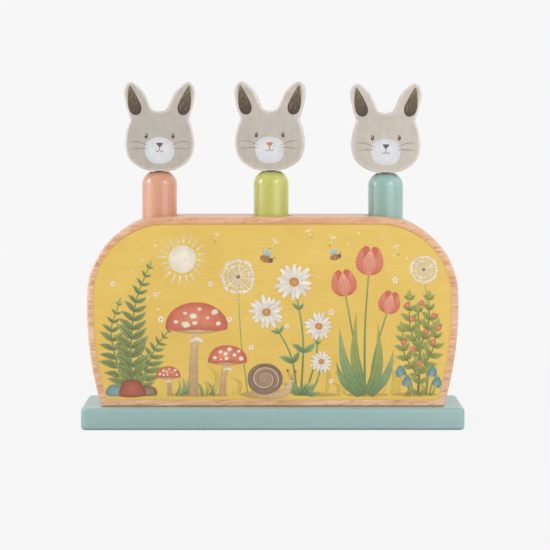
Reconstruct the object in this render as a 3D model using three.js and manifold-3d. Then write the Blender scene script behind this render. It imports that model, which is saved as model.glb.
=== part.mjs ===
// Wooden pop-up toy: three rabbit figures stand on springs in the bores of a beech block on a painted board.
// Millimetres, +Z up, the front faces -Y, and the origin is the middle of the board's underside.
import * as THREE from "three";
import { mergeVertices } from "three/addons/utils/BufferGeometryUtils.js";
import Module from "manifold-3d";

const wasm = await Module();
wasm.setup();

// Fits shared by all pieces
const seatGap = 0.3;
const cutOverrun = 2;

// Board
const boardLength = 216;
const boardDepth = 70;
const boardThickness = 12.5;
const boardCornerRadius = 3.5;
const boardEdgeRound = 2;

// Block
const blockWidth = 209.6;
const blockHeight = 107;
const blockDepth = 52;
const blockWidestHeight = 56.5;
const blockShoulderRadius = 44.5;
const blockSideRadius = 203;
const blockFootRadius = 2.2;
const blockEdgeRound = 1.6;

// Bores and figures
const figureSpacing = 64.6;
const boreDiameter = 23;
const pegDiameter = 20;
const pegInsert = 35.5;
const pegShoulderRadius = 8;
const pegShoulderFlat = 12;
const pegNeckDiameter = 11;
const pegNeckHeight = 0.9;
const pegFootChamfer = 1;

// Heads
const headWidth = 40.5;
const headHeight = 51.4;
const headThickness = 10;
const headEdgeRound = 0.8;

// Dowels between peg and head
const dowelDiameter = 5;
const dowelLength = 20;
const dowelChamfer = 0.6;

// Springs
const wireDiameter = 1.2;
const springDiameter = 18;
const springActiveTurns = 8;
const springEyeTurns = 0.6;
const springSweepTurns = 1;
const springFootTurns = 0.6;
const springSeatTurns = 0.7;

// Screws that hold the springs to the board
const springScrewDiameter = 3.5;
const springScrewHeadDiameter = 7.6;
const springScrewHeadHeight = 2.4;
const springScrewHeadRim = 0.8;
const springScrewTip = 2.5;
const springScrewCover = 3;

// Screws that hold the block to the board
const blockScrewDiameter = 4;
const blockScrewHeadDiameter = 8;
const blockScrewHeadRim = 0.5;
const blockScrewRecess = 0.5;
const blockScrewBite = 22;
const blockScrewTip = 4;
const blockScrewSpacing = 28;

// Cross recess in every screw head
const driveWidth = 0.9;
const driveSpan = 4.2;
const driveDepth = 1.3;

// How far each loosely seated figure has turned in its bore, in degrees
const leftTurn = 6;
const middleTurn = -6.5;
const rightTurn = 1;

// How far each peg stands out of the block, which differs a little from peg to peg
const leftRise = 24.5;
const middleRise = 24.8;
const rightRise = 23.6;

// How far the middle peg stands to the left in its bore, and its head to the left of its peg
const middleOffset = 0.8;
const middleDrift = 0.6;

// Facets
const roundSteps = 3;
const headRoundSteps = 2;
const cornerSteps = 4;
const shoulderSteps = 14;
const sideSteps = 10;
const boreSides = 40;
const pegSides = 36;
const screwSides = 16;
const dowelSides = 16;
const pegShoulderSteps = 6;
const panSteps = 3;
const headOutlineSteps = 92;
const wireSides = 5;
const stepsPerTurn = 10;

// Rabbit head outline from the chin round the right side to the crown, as shares of half the width and of the
// height
const headOutlineShares = [
  [0, 0],
  [0.366, 0.012],
  [0.58, 0.046],
  [0.805, 0.111],
  [0.915, 0.187],
  [0.966, 0.311],
  [0.93, 0.443],
  [0.86, 0.542],
  [0.823, 0.578],
  [0.853, 0.63],
  [0.918, 0.71],
  [0.99, 0.85],
  [0.985, 0.91],
  [0.92, 0.972],
  [0.82, 0.998],
  [0.715, 0.972],
  [0.515, 0.9],
  [0.408, 0.836],
  [0.3, 0.752],
  [0.22, 0.703],
  [0.12, 0.679],
];
const crownShare = 0.673;

const beech = new THREE.MeshStandardMaterial({ color: 0xdcae88, roughness: 0.55, metalness: 0 });
const dowelWood = new THREE.MeshStandardMaterial({ color: 0xe3c39c, roughness: 0.7, metalness: 0 });
const tealPaint = new THREE.MeshStandardMaterial({ color: 0x9ab6b1, roughness: 0.5, metalness: 0 });
const salmonPaint = new THREE.MeshStandardMaterial({ color: 0xe0a381, roughness: 0.3, metalness: 0 });
const greenPaint = new THREE.MeshStandardMaterial({ color: 0xc7c56d, roughness: 0.3, metalness: 0 });
const bluePaint = new THREE.MeshStandardMaterial({ color: 0x99b7ad, roughness: 0.3, metalness: 0 });
const headPaint = new THREE.MeshStandardMaterial({ color: 0xc6beae, roughness: 0.6, metalness: 0 });
const springSteel = new THREE.MeshStandardMaterial({ color: 0xb9bcc0, roughness: 0.3, metalness: 1 });
const zincPlate = new THREE.MeshStandardMaterial({ color: 0xc8c4b6, roughness: 0.35, metalness: 1 });

// A closed geometry as a solid that can be cut, with triangles that have no area left out
function solidOf(geometry) {
  const bare = geometry.clone();
  bare.deleteAttribute("normal");
  bare.deleteAttribute("uv");
  const merged = mergeVertices(bare);
  const corners = merged.index.array;
  const kept = [];
  for (let i = 0; i < corners.length; i += 3) {
    const [a, b, c] = corners.subarray(i, i + 3);
    if (a !== b && b !== c && c !== a) kept.push(a, b, c);
  }
  const vertProperties = new Float32Array(merged.attributes.position.array);
  return new wasm.Manifold(new wasm.Mesh({ numProp: 3, vertProperties, triVerts: new Uint32Array(kept) }));
}

// A solid as a geometry again
function geometryOf(solid) {
  const mesh = solid.getMesh();
  const geometry = new THREE.BufferGeometry();
  geometry.setAttribute("position", new THREE.BufferAttribute(new Float32Array(mesh.vertProperties), 3));
  geometry.setIndex(new THREE.BufferAttribute(new Uint32Array(mesh.triVerts), 1));
  geometry.computeVertexNormals();
  return geometry;
}

function named(name, solid, material) {
  const mesh = new THREE.Mesh(geometryOf(solid), material);
  mesh.name = name;
  return mesh;
}

// A shape extruded about the middle of its thickness, with every edge of its two faces rounded
function roundedPlate(shape, thickness, round, steps) {
  const geometry = new THREE.ExtrudeGeometry(shape, {
    depth: thickness - 2 * round,
    bevelEnabled: true,
    bevelThickness: round,
    bevelSize: round,
    bevelOffset: -round,
    bevelSegments: steps,
    curveSegments: cornerSteps,
  });
  return geometry.translate(0, 0, round - thickness / 2);
}

// A profile of [radius, height] pairs, listed upwards, revolved about the Z axis
function revolved(profile, sides) {
  const points = profile.map(([radius, height]) => new THREE.Vector2(radius, height));
  return solidOf(new THREE.LatheGeometry(points, sides).rotateX(Math.PI / 2));
}

function cylinder(diameter, bottom, top, sides) {
  const radius = diameter / 2;
  return revolved([[0, bottom], [radius, bottom], [radius, top], [0, top]], sides);
}

// Points of an arc in a profile, both ends included, with angles from the outward direction
function arcPoints(centreX, centreY, radius, from, to, steps) {
  return Array.from({ length: steps + 1 }, (_, i) => {
    const angle = from + ((to - from) * i) / steps;
    return [centreX + radius * Math.cos(angle), centreY + radius * Math.sin(angle)];
  });
}

// A cross recess centred on a screw head's face at the given height, cut to the drive's depth
function driveRecess(faceHeight) {
  const height = 2 * driveDepth;
  const bar = solidOf(new THREE.BoxGeometry(driveSpan, driveWidth, height));
  const crossing = solidOf(new THREE.BoxGeometry(driveWidth, driveSpan, height));
  return bar.add(crossing).translate([0, 0, faceHeight]);
}

// Countersunk screw that points up from its head's face, and the same form grown sideways to cut its hole
const blockScrewLength = boardThickness - blockScrewRecess + blockScrewBite;
function blockScrewProfile(grow, below) {
  const head = blockScrewHeadDiameter / 2;
  const shank = blockScrewDiameter / 2;
  return [
    [0, -below],
    [head + grow, -below],
    [head + grow, blockScrewHeadRim],
    [shank + grow, blockScrewHeadRim + head - shank],
  ];
}

function blockScrew() {
  const shank = blockScrewDiameter / 2;
  const tip = [[shank, blockScrewLength - blockScrewTip], [0, blockScrewLength]];
  return revolved([...blockScrewProfile(0, 0), ...tip], screwSides).subtract(driveRecess(0));
}

function blockScrewHole() {
  const radius = blockScrewDiameter / 2 + seatGap;
  const end = blockScrewLength + seatGap;
  const profile = [...blockScrewProfile(seatGap, cutOverrun), [radius, end], [0, end]];
  return revolved(profile, screwSides).translate([0, 0, blockScrewRecess]);
}

function blockScrewPlaces() {
  const x = figureSpacing / 2;
  const y = blockScrewSpacing / 2;
  return [
    ["front_left", -x, -y],
    ["front_right", x, -y],
    ["rear_left", -x, y],
    ["rear_right", x, y],
  ];
}

// Pan-head screw that points down, with its origin at the underside of its head
const springScrewStack = 2 * seatGap + wireDiameter;
const springScrewLength = springScrewStack + boardThickness - springScrewCover;
function springScrew() {
  const shank = springScrewDiameter / 2;
  const head = springScrewHeadDiameter / 2;
  const crown = springScrewHeadHeight - springScrewHeadRim;
  const crownRound = arcPoints(head - crown, springScrewHeadRim, crown, 0, Math.PI / 2, panSteps);
  const profile = [
    [0, -springScrewLength],
    [shank, springScrewTip - springScrewLength],
    [shank, 0],
    [head, 0],
    ...crownRound,
    [0, springScrewHeadHeight],
  ];
  return revolved(profile, screwSides).subtract(driveRecess(springScrewHeadHeight));
}

// Board with a countersunk hole for each block screw and a blind hole for each spring screw
function board() {
  const shape = new THREE.Shape();
  const x = boardLength / 2 - boardCornerRadius;
  const y = boardDepth / 2 - boardCornerRadius;
  shape.absarc(x, -y, boardCornerRadius, -Math.PI / 2, 0);
  shape.absarc(x, y, boardCornerRadius, 0, Math.PI / 2);
  shape.absarc(-x, y, boardCornerRadius, Math.PI / 2, Math.PI);
  shape.absarc(-x, -y, boardCornerRadius, Math.PI, 1.5 * Math.PI);
  const plate = roundedPlate(shape, boardThickness, boardEdgeRound, roundSteps);
  let solid = solidOf(plate.translate(0, 0, boardThickness / 2));
  for (const [, px, py] of blockScrewPlaces()) {
    solid = solid.subtract(blockScrewHole().translate([px, py, 0]));
  }
  const pilotDiameter = springScrewDiameter + 2 * seatGap;
  const pilotBottom = springScrewCover - seatGap;
  for (const place of [-figureSpacing, 0, figureSpacing]) {
    const pilot = cylinder(pilotDiameter, pilotBottom, boardThickness + cutOverrun, screwSides);
    solid = solid.subtract(pilot.translate([place, 0, 0]));
  }
  return solid;
}

// Front outline of the block: a straight foot, bowed sides, big round shoulders and a straight top, each arc
// tangent to the next
function blockOutline() {
  const sideX = blockWidth / 2 - blockSideRadius;
  const sideZ = blockWidestHeight;
  const shoulderZ = blockHeight - blockShoulderRadius;
  const shoulderReach = blockSideRadius - blockShoulderRadius;
  const shoulderX = sideX + Math.sqrt(shoulderReach ** 2 - (shoulderZ - sideZ) ** 2);
  const shoulderAngle = Math.atan2(shoulderZ - sideZ, shoulderX - sideX);
  const footReach = blockSideRadius - blockFootRadius;
  const footX = sideX + Math.sqrt(footReach ** 2 - (sideZ - blockFootRadius) ** 2);
  const footAngle = Math.atan2(blockFootRadius - sideZ, footX - sideX);
  const shoulder = arcPoints(
    shoulderX, shoulderZ, blockShoulderRadius, shoulderAngle, Math.PI / 2, shoulderSteps,
  );
  const right = [
    ...arcPoints(footX, blockFootRadius, blockFootRadius, -Math.PI / 2, footAngle, cornerSteps / 2),
    ...arcPoints(sideX, sideZ, blockSideRadius, footAngle, shoulderAngle, sideSteps).slice(1),
    ...shoulder.slice(1),
  ];
  const left = right.map(([x, z]) => [-x, z]).reverse();
  return new THREE.Shape([...right, ...left].map(([x, z]) => new THREE.Vector2(x, z)));
}

// Block with its three through bores and a pilot hole for each screw, standing on its own origin
function block() {
  const plate = roundedPlate(blockOutline(), blockDepth, blockEdgeRound, roundSteps);
  let solid = solidOf(plate.rotateX(Math.PI / 2));
  for (const place of [-figureSpacing, 0, figureSpacing]) {
    const bore = cylinder(boreDiameter, -cutOverrun, blockHeight + cutOverrun, boreSides);
    solid = solid.subtract(bore.translate([place, 0, 0]));
  }
  for (const [, px, py] of blockScrewPlaces()) {
    solid = solid.subtract(blockScrewHole().translate([px, py, -boardThickness]));
  }
  return solid;
}

// Socket for one half of a dowel, opening up or down from its origin
const dowelSocketDepth = dowelLength / 2 + seatGap;
function dowelSocket(direction) {
  const ends = [-direction * cutOverrun, direction * dowelSocketDepth];
  return cylinder(dowelDiameter + 2 * seatGap, Math.min(...ends), Math.max(...ends), dowelSides);
}

function dowel() {
  const radius = dowelDiameter / 2;
  const half = dowelLength / 2;
  const profile = [
    [0, -half],
    [radius - dowelChamfer, -half],
    [radius, dowelChamfer - half],
    [radius, half - dowelChamfer],
    [radius - dowelChamfer, half],
    [0, half],
  ];
  return revolved(profile, dowelSides);
}

// Peg with round shoulders under a short neck, on whose top its origin is
function peg(rise) {
  const radius = pegDiameter / 2;
  const foot = -(rise + pegInsert);
  const centreX = radius - pegShoulderRadius;
  const flatAngle = Math.acos((pegShoulderFlat / 2 - centreX) / pegShoulderRadius);
  const centreZ = -pegNeckHeight - pegShoulderRadius * Math.sin(flatAngle);
  const profile = [
    [0, foot],
    [radius - pegFootChamfer, foot],
    [radius, foot + pegFootChamfer],
    ...arcPoints(centreX, centreZ, pegShoulderRadius, 0, flatAngle, pegShoulderSteps),
    [pegNeckDiameter / 2, -pegNeckHeight],
    [pegNeckDiameter / 2, 0],
    [0, 0],
  ];
  return revolved(profile, pegSides).subtract(dowelSocket(-1));
}

// Flat rabbit head cut from board, with its chin at the height of its origin and the dowel's socket in its
// underside, which was drilled off the middle by the drift
function head(drift) {
  const half = headWidth / 2;
  const right = headOutlineShares.map(([across, up]) => [across * half, up * headHeight]);
  const left = right.slice(1).reverse().map(([x, z]) => [-x, z]);
  const corners = [...right, [0, crownShare * headHeight], ...left];
  const path = corners.map(([x, z]) => new THREE.Vector3(x, z, 0));
  const outline = new THREE.CatmullRomCurve3(path, true, "centripetal").getSpacedPoints(headOutlineSteps);
  const shape = new THREE.Shape(outline.slice(0, -1).map((point) => new THREE.Vector2(point.x, point.y)));
  const plate = roundedPlate(shape, headThickness, headEdgeRound, headRoundSteps);
  return solidOf(plate.rotateX(Math.PI / 2)).translate([-drift, 0, 0]).subtract(dowelSocket(1));
}

// Centreline of a spring that stands on its origin: an eye for its screw, a sweep out to the coil, a flat
// foot, the active turns and a flat seat
const springLength = blockHeight - pegInsert - 2 * seatGap;
function springPath() {
  const eyeRadius = springScrewDiameter / 2 + seatGap + wireDiameter / 2;
  const coilRadius = (springDiameter - wireDiameter) / 2;
  const sweepEnd = springEyeTurns + springSweepTurns;
  const riseStart = sweepEnd + springFootTurns;
  const riseEnd = riseStart + springActiveTurns;
  const turns = riseEnd + springSeatTurns;
  const rise = springLength - wireDiameter;
  const steps = Math.round(turns * stepsPerTurn);
  return Array.from({ length: steps + 1 }, (_, i) => {
    const turn = (turns * i) / steps;
    const angle = 2 * Math.PI * turn;
    const swept = THREE.MathUtils.clamp((turn - springEyeTurns) / springSweepTurns, 0, 1);
    const radius = THREE.MathUtils.lerp(eyeRadius, coilRadius, swept);
    const risen = THREE.MathUtils.clamp((turn - riseStart) / springActiveTurns, 0, 1);
    const height = seatGap + wireDiameter / 2 + rise * risen;
    return new THREE.Vector3(radius * Math.cos(angle), radius * Math.sin(angle), height);
  });
}

// A closed round wire along a path, with each ring square to the path
function wireAlong(path) {
  const radius = wireDiameter / 2;
  const vertices = [];
  const triangles = [];
  path.forEach((point, i) => {
    const next = path[Math.min(i + 1, path.length - 1)];
    const tangent = next.clone().sub(path[Math.max(i - 1, 0)]).normalize();
    const outward = new THREE.Vector3(point.x, point.y, 0).normalize();
    const up = tangent.clone().cross(outward).normalize();
    outward.crossVectors(up, tangent);
    for (let side = 0; side < wireSides; side++) {
      const angle = (2 * Math.PI * side) / wireSides;
      const corner = point.clone();
      corner.addScaledVector(outward, radius * Math.cos(angle));
      corner.addScaledVector(up, radius * Math.sin(angle));
      vertices.push(...corner.toArray());
    }
  });
  const ring = (i, side) => i * wireSides + (side % wireSides);
  for (let i = 0; i + 1 < path.length; i++) {
    for (let side = 0; side < wireSides; side++) {
      triangles.push(ring(i, side), ring(i, side + 1), ring(i + 1, side));
      triangles.push(ring(i + 1, side), ring(i, side + 1), ring(i + 1, side + 1));
    }
  }
  for (let side = 1; side + 1 < wireSides; side++) {
    const last = path.length - 1;
    triangles.push(ring(0, 0), ring(0, side + 1), ring(0, side));
    triangles.push(ring(last, 0), ring(last, side), ring(last, side + 1));
  }
  const geometry = new THREE.BufferGeometry();
  geometry.setAttribute("position", new THREE.Float32BufferAttribute(vertices, 3));
  geometry.setIndex(triangles);
  return solidOf(geometry);
}

// Least gap between a wire's surface and another stretch of the same wire, half a turn or more away along it
function leastGapToItself(path) {
  let least = Infinity;
  const apart = Math.floor(stepsPerTurn / 2);
  path.forEach((point, i) => {
    for (const other of path.slice(i + apart)) least = Math.min(least, point.distanceTo(other));
  });
  return least - wireDiameter;
}

// One figure with its peg's top at the group's origin
function figure(side, rise, turn, drift, paint) {
  const group = new THREE.Group();
  const neck = named(`neck_dowel_${side}`, dowel(), dowelWood);
  const face = named(`head_${side}`, head(drift), headPaint);
  neck.position.z = seatGap / 2;
  face.position.z = seatGap;
  group.add(named(`peg_${side}`, peg(rise), paint), neck, face);
  group.rotation.z = THREE.MathUtils.degToRad(turn);
  return group;
}

function toy() {
  const group = new THREE.Group();
  const bodyBlock = named("body_block", block(), beech);
  bodyBlock.position.z = boardThickness;
  group.add(named("base_board", board(), tealPaint), bodyBlock);
  for (const [corner, x, y] of blockScrewPlaces()) {
    const screw = named(`block_screw_${corner}`, blockScrew(), zincPlate);
    screw.position.set(x, y, blockScrewRecess);
    group.add(screw);
  }
  const wirePath = springPath();
  console.log(`least gap of a spring to itself: ${leastGapToItself(wirePath).toFixed(2)} mm`);
  const figures = [
    ["left", -figureSpacing, 0, leftRise, leftTurn, 0, salmonPaint],
    ["middle", 0, middleOffset, middleRise, middleTurn, middleDrift, greenPaint],
    ["right", figureSpacing, 0, rightRise, rightTurn, 0, bluePaint],
  ];
  for (const [side, x, offset, rise, turn, drift, paint] of figures) {
    const spring = named(`spring_${side}`, wireAlong(wirePath), springSteel);
    const screw = named(`spring_screw_${side}`, springScrew(), zincPlate);
    const popUp = figure(side, rise, turn, drift, paint);
    spring.position.set(x, 0, boardThickness);
    screw.position.set(x, 0, boardThickness + springScrewStack);
    popUp.position.set(x - offset, 0, boardThickness + blockHeight + rise);
    group.add(spring, screw, popUp);
  }
  return group;
}

export default toy();
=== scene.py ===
"""Looks of a wooden pop-up toy: board, block, printed panel, pegs, rabbit heads, springs and screws."""
import math
import random

import bmesh
import bpy
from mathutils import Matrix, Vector, noise
from mathutils.geometry import intersect_line_line_2d


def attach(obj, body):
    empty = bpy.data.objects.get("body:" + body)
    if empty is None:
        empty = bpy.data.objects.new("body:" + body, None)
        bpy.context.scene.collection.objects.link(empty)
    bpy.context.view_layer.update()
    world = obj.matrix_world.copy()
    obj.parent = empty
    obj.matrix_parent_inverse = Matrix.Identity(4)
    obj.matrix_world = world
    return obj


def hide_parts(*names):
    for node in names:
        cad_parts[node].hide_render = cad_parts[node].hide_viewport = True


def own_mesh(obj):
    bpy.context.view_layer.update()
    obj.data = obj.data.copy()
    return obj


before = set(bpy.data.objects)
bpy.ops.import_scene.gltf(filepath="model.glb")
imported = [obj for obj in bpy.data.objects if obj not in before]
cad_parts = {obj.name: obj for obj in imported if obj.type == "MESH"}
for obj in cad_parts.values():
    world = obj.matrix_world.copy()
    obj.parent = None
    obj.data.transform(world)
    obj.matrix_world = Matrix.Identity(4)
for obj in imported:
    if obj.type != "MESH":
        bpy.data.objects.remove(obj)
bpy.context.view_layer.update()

# Sizes in millimetres. They are the CAD part's own, but for the finer ones that have a comment of their own.
MM = 0.001
board_size = (216, 70, 12.5)
board_corner_radius = 3.5
board_edge_round = 2
block_width = 209.6
block_height = 107
block_depth = 52
block_widest_height = 56.5
block_shoulder_radius = 44.5
block_side_radius = 203
block_foot_radius = 2.2
block_edge_round = 1.6
# The block's edges are rounded, and then its foot is planed flat by this much
block_foot_planed = 0.7
figure_spacing = 64.6
bore_radius = 11.5
# The mouths of the bores are rounded
bore_mouth_round = 0.6
peg_radius = 10
peg_insert = 35.5
peg_shoulder_radius = 8
peg_shoulder_flat = 12
peg_foot_chamfer = 1
# A neck a little lower and wider than the CAD part's, and a top half a millimetre higher
peg_neck_waist = 5.6
peg_neck_height = 0.45
peg_neck_round = 0.2
peg_neck_bevel = 0.1
peg_top = 0.5
head_width = 40.5
head_height = 51.4
head_thickness = 10
# A slightly tighter round than the CAD part's
head_edge_round = 0.7
seat_gap = 0.3
dowel_radius = 2.5
dowel_half = 10
wire_radius = 0.6
spring_radius = 8.4
spring_eye_radius = 2.65
spring_eye_turns = 0.6
spring_sweep_turns = 1
spring_foot_turns = 0.6
spring_active_turns = 8
spring_seat_turns = 0.7
spring_screw_radius = 1.75
spring_screw_head_radius = 3.8
spring_screw_head_height = 2.4
spring_screw_head_rim = 0.8
spring_screw_length = 11.3
spring_screw_point = 2.5
block_screw_radius = 2
block_screw_head_radius = 4
block_screw_head_rim = 0.5
block_screw_recess = 0.5
block_screw_length = 34
block_screw_point = 4
block_screw_spacing = 28
# The screws' plain stretches, threads, eased rims and cross recesses, which the CAD part leaves out
spring_screw_plain = 3.4
block_screw_plain = 6
thread_pitch = 1.4
thread_root_share = 0.78
thread_step_shares = (0.4, 0.7)
spring_screw_ease = 0.1
block_screw_ease = (0.15, 0.12)
drive_width = 0.9
drive_span = 4.2
drive_depth = 1.3

# What cutters reach past the piece they cut, and how far an edge is eased or held by an extra ring
cut_overrun = 2
foot_cut_below = 2.8
bore_cut_below = 4
bore_cut_above = 2.5
bore_cut_flare = 1.2
corner_ease = 0.05
corner_hold = 0.2
plate_hold = 0.12

# Steps of round stretches, and the angles in degrees from which an edge looks sharp
corner_steps = 10
block_foot_steps = 6
block_side_steps = 30
block_shoulder_steps = 36
block_round_steps = 6
board_round_steps = 7
head_round_steps = 4
head_outline_steps = 7
bore_sides = 120
bore_round_steps = 4
peg_sides = 96
peg_shoulder_steps = 16
peg_neck_steps = 4
screw_sides = 40
screw_crown_steps = 8
hole_sides = 48
pilot_sides = 32
wire_sides = 12
spring_steps_per_turn = 30
sharp_degrees = 30
wire_sharp_degrees = 50

# Each figure: side, x of its bore, offset of its peg, rise, turn in degrees, drift of its head and how far
# it can be pressed
figures = [
    ("left", -figure_spacing, 0, 24.5, 6, 0, 24.5),
    ("middle", 0, -0.8, 24.8, -6.5, -0.6, 24.8),
    ("right", figure_spacing, 0, 23.6, 1, 0, 23.6),
]
bore_places = [x for side, x, *rest in figures]
block_top = board_size[2] + block_height

# Head outline from the chin round the right side to the crown, as shares of half the width and of the height.
# Its chin stands half a millimetre higher than the CAD part's, and its ears are a little fuller.
head_outline_shares = [
    (0, 0.01), (0.366, 0.022), (0.58, 0.058), (0.805, 0.124), (0.915, 0.198), (0.966, 0.316),
    (0.93, 0.443), (0.86, 0.542), (0.823, 0.578), (0.853, 0.63), (0.918, 0.71), (0.99, 0.85),
    (0.985, 0.91), (0.92, 0.972), (0.81, 0.998), (0.69, 0.975), (0.495, 0.908), (0.392, 0.842),
    (0.292, 0.752), (0.22, 0.698), (0.12, 0.679),
]
crown_share = 0.673


# Colours and node helpers


def linear(value):
    share = value / 255
    return share / 12.92 if share <= 0.04045 else ((share + 0.055) / 1.055) ** 2.4


def paint(red, green, blue):
    """A colour given as it looks on a screen, 0 to 255, turned into light for a shader."""
    return (linear(red), linear(green), linear(blue), 1.0)


def plug(tree, socket, value):
    if isinstance(value, bpy.types.NodeSocket):
        tree.links.new(value, socket)
    else:
        socket.default_value = value


def add(tree, kind, inputs=None, **settings):
    """A new node with its settings and inputs, which are values or other nodes' outputs."""
    made = tree.nodes.new(kind)
    for key, value in settings.items():
        setattr(made, key, value)
    for key, value in (inputs or {}).items():
        plug(tree, made.inputs[key], value)
    return made


def maths(tree, operation, *values):
    return add(tree, "ShaderNodeMath", dict(enumerate(values)), operation=operation).outputs[0]


def times(tree, first, second):
    return maths(tree, "MULTIPLY", first, second)


def weighed(tree, *pairs):
    """The sum of several values, each given with its weight."""
    total = times(tree, *pairs[0])
    for value, weight in pairs[1:]:
        total = maths(tree, "ADD", total, times(tree, value, weight))
    return total


def blend_colours(tree, share, first, second, way="MIX"):
    inputs = {0: share, 6: first, 7: second}
    return add(tree, "ShaderNodeMix", inputs, data_type="RGBA", blend_type=way).outputs[2]


def spread(tree, value, low, high, to_low=0.0, to_high=1.0):
    """A value's range from low to high, mapped to another range and held at its ends."""
    inputs = {0: value, 1: low, 2: high, 3: to_low, 4: to_high}
    return add(tree, "ShaderNodeMapRange", inputs).outputs[0]


def ramp(tree, value, stops):
    made = add(tree, "ShaderNodeValToRGB", {0: value})
    points = made.color_ramp.elements
    while len(points) < len(stops):
        points.new(1.0)
    for point, (position, colour) in zip(points, stops):
        point.position = position
        point.color = colour
    return made.outputs[0]


def speckle(tree, place, scale, detail=3.0, roughness=0.55, stretch=(1, 1, 1), shift=(0, 0, 0)):
    """Noise on the piece's own coordinates. Scale counts features in a metre, and stretch squeezes axes."""
    mapping = {"Vector": place, "Scale": tuple(scale * s for s in stretch), "Location": shift}
    spot = add(tree, "ShaderNodeMapping", mapping).outputs[0]
    inputs = {"Vector": spot, "Scale": 1.0, "Detail": detail, "Roughness": roughness}
    return add(tree, "ShaderNodeTexNoise", inputs).outputs[0]


def new_material(name, **uniform):
    """A material with its shader, whose uniform values go straight on the shader's sockets."""
    material = bpy.data.materials.new(name)
    material.use_nodes = True
    tree = material.node_tree
    shader = tree.nodes["Principled BSDF"]
    for key, value in uniform.items():
        shader.inputs[key.replace("_", " ")].default_value = value
    place = tree.nodes.new("ShaderNodeTexCoord").outputs["Object"]
    return material, tree, shader, place


def bump(tree, shader, height, strength, depth_mm):
    made = add(tree, "ShaderNodeBump", {"Height": height, "Strength": strength, "Distance": depth_mm * MM})
    tree.links.new(made.outputs[0], shader.inputs["Normal"])


def stored(tree, name, output="Fac"):
    return add(tree, "ShaderNodeAttribute", attribute_name=name).outputs[output]


def height_of(tree, place):
    """Height above the table, in metres."""
    return add(tree, "ShaderNodeSeparateXYZ", {0: place}).outputs[2]


def shade_above(tree, place, level, low, high, strength):
    """A shade that fades out between two heights in millimetres above a level."""
    return spread(tree, height_of(tree, place), (level + low) * MM, (level + high) * MM, strength, 0)


def three_tones(tree, value, levels, colours):
    return ramp(tree, value, [(level, paint(*colour)) for level, colour in zip(levels, colours)])


def dress(tree, shader, colour, pattern, roughness, relief, strength, depth_mm):
    """Gives a shader its colour, a roughness that follows a pattern, and its relief."""
    plug(tree, shader.inputs["Base Color"], colour)
    plug(tree, shader.inputs["Roughness"], spread(tree, pattern, *noise_range, *roughness))
    bump(tree, shader, relief, strength, depth_mm)


# The levels between which most of a noise lies
noise_range = (0.3, 0.7)


# Materials


def along_axis(axis, share):
    """A stretch that draws a pattern out along one axis."""
    return tuple(share if name == axis else 1 for name in "XYZ")


def wavy(tree, place, slope_degrees, wave_mm):
    """Coordinates turned about Y and gently bent, so that grain along X climbs and wanders."""
    slope = (0, math.radians(slope_degrees), 0)
    turned = add(tree, "ShaderNodeMapping", {"Vector": place, "Rotation": slope}).outputs[0]
    wander = speckle(tree, place, 22, 2, 0.5, (0.45, 1, 1), (5, 3, 8))
    drift = spread(tree, wander, 0.2, 0.8, -wave_mm * MM, wave_mm * MM)
    offset = add(tree, "ShaderNodeCombineXYZ", {2: drift}).outputs[0]
    return add(tree, "ShaderNodeVectorMath", {0: turned, 1: offset}, operation="ADD").outputs[0]


def grain(tree, place, along="X", shift=(0, 0, 0)):
    """Fine fibres, broad bands and short pores of wood whose grain runs along one axis."""
    fibres = speckle(tree, place, 1700, 5, 0.62, along_axis(along, 0.045), shift)
    bands = speckle(tree, place, 150, 3, 0.5, along_axis(along, 0.09), shift)
    pores = speckle(tree, place, 1500, 2, 0.5, along_axis(along, 0.13), shift)
    return fibres, bands, spread(tree, pores, 0.66, 0.75)


def beech_material():
    """Beech under clear satin lacquer. Orange and pale fibres climb a little, crossed by short dark rays."""
    material, tree, shader, place = new_material("oiled_beech", Coat_Weight=0.45, Coat_Roughness=0.25)
    bent = wavy(tree, place, 6, 3)
    coarse = speckle(tree, bent, 900, 3, 0.6, along_axis("X", 0.075))
    fine = speckle(tree, bent, 2100, 3, 0.6, along_axis("X", 0.06), (4, 0, 2))
    bands = speckle(tree, bent, 140, 3, 0.5, along_axis("X", 0.10), (1, 6, 3))
    rays = spread(tree, speckle(tree, bent, 1250, 2, 0.5, along_axis("X", 0.16), (9, 2, 5)), 0.62, 0.70)
    mixed = weighed(tree, (coarse, 0.55), (fine, 0.2), (bands, 0.25))
    colour = ramp(tree, mixed, [
        (0.38, paint(206, 145, 100)),
        (0.47, paint(219, 167, 127)),
        (0.54, paint(229, 184, 148)),
        (0.64, paint(240, 203, 174)),
    ])
    # Darker and more orange towards the block's top, along wandering bands
    wandering_height = maths(tree, "ADD", height_of(tree, place), times(tree, bands, 20 * MM))
    darker_top = spread(tree, wandering_height, 118 * MM, 130 * MM, 0, 0.45)
    colour = blend_colours(tree, darker_top, colour, paint(212, 154, 106))
    colour = blend_colours(tree, times(tree, rays, 0.68), colour, paint(166, 106, 66))
    # Painted shadow along the block's foot, where it stands on the board
    foot = shade_above(tree, place, board_size[2], 0.2, 1.1, 0.75)
    colour = blend_colours(tree, foot, colour, paint(118, 84, 58))
    dress(tree, shader, colour, coarse, (0.36, 0.52), maths(tree, "SUBTRACT", fine, rays), 0.3, 0.04)
    return material


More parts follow.
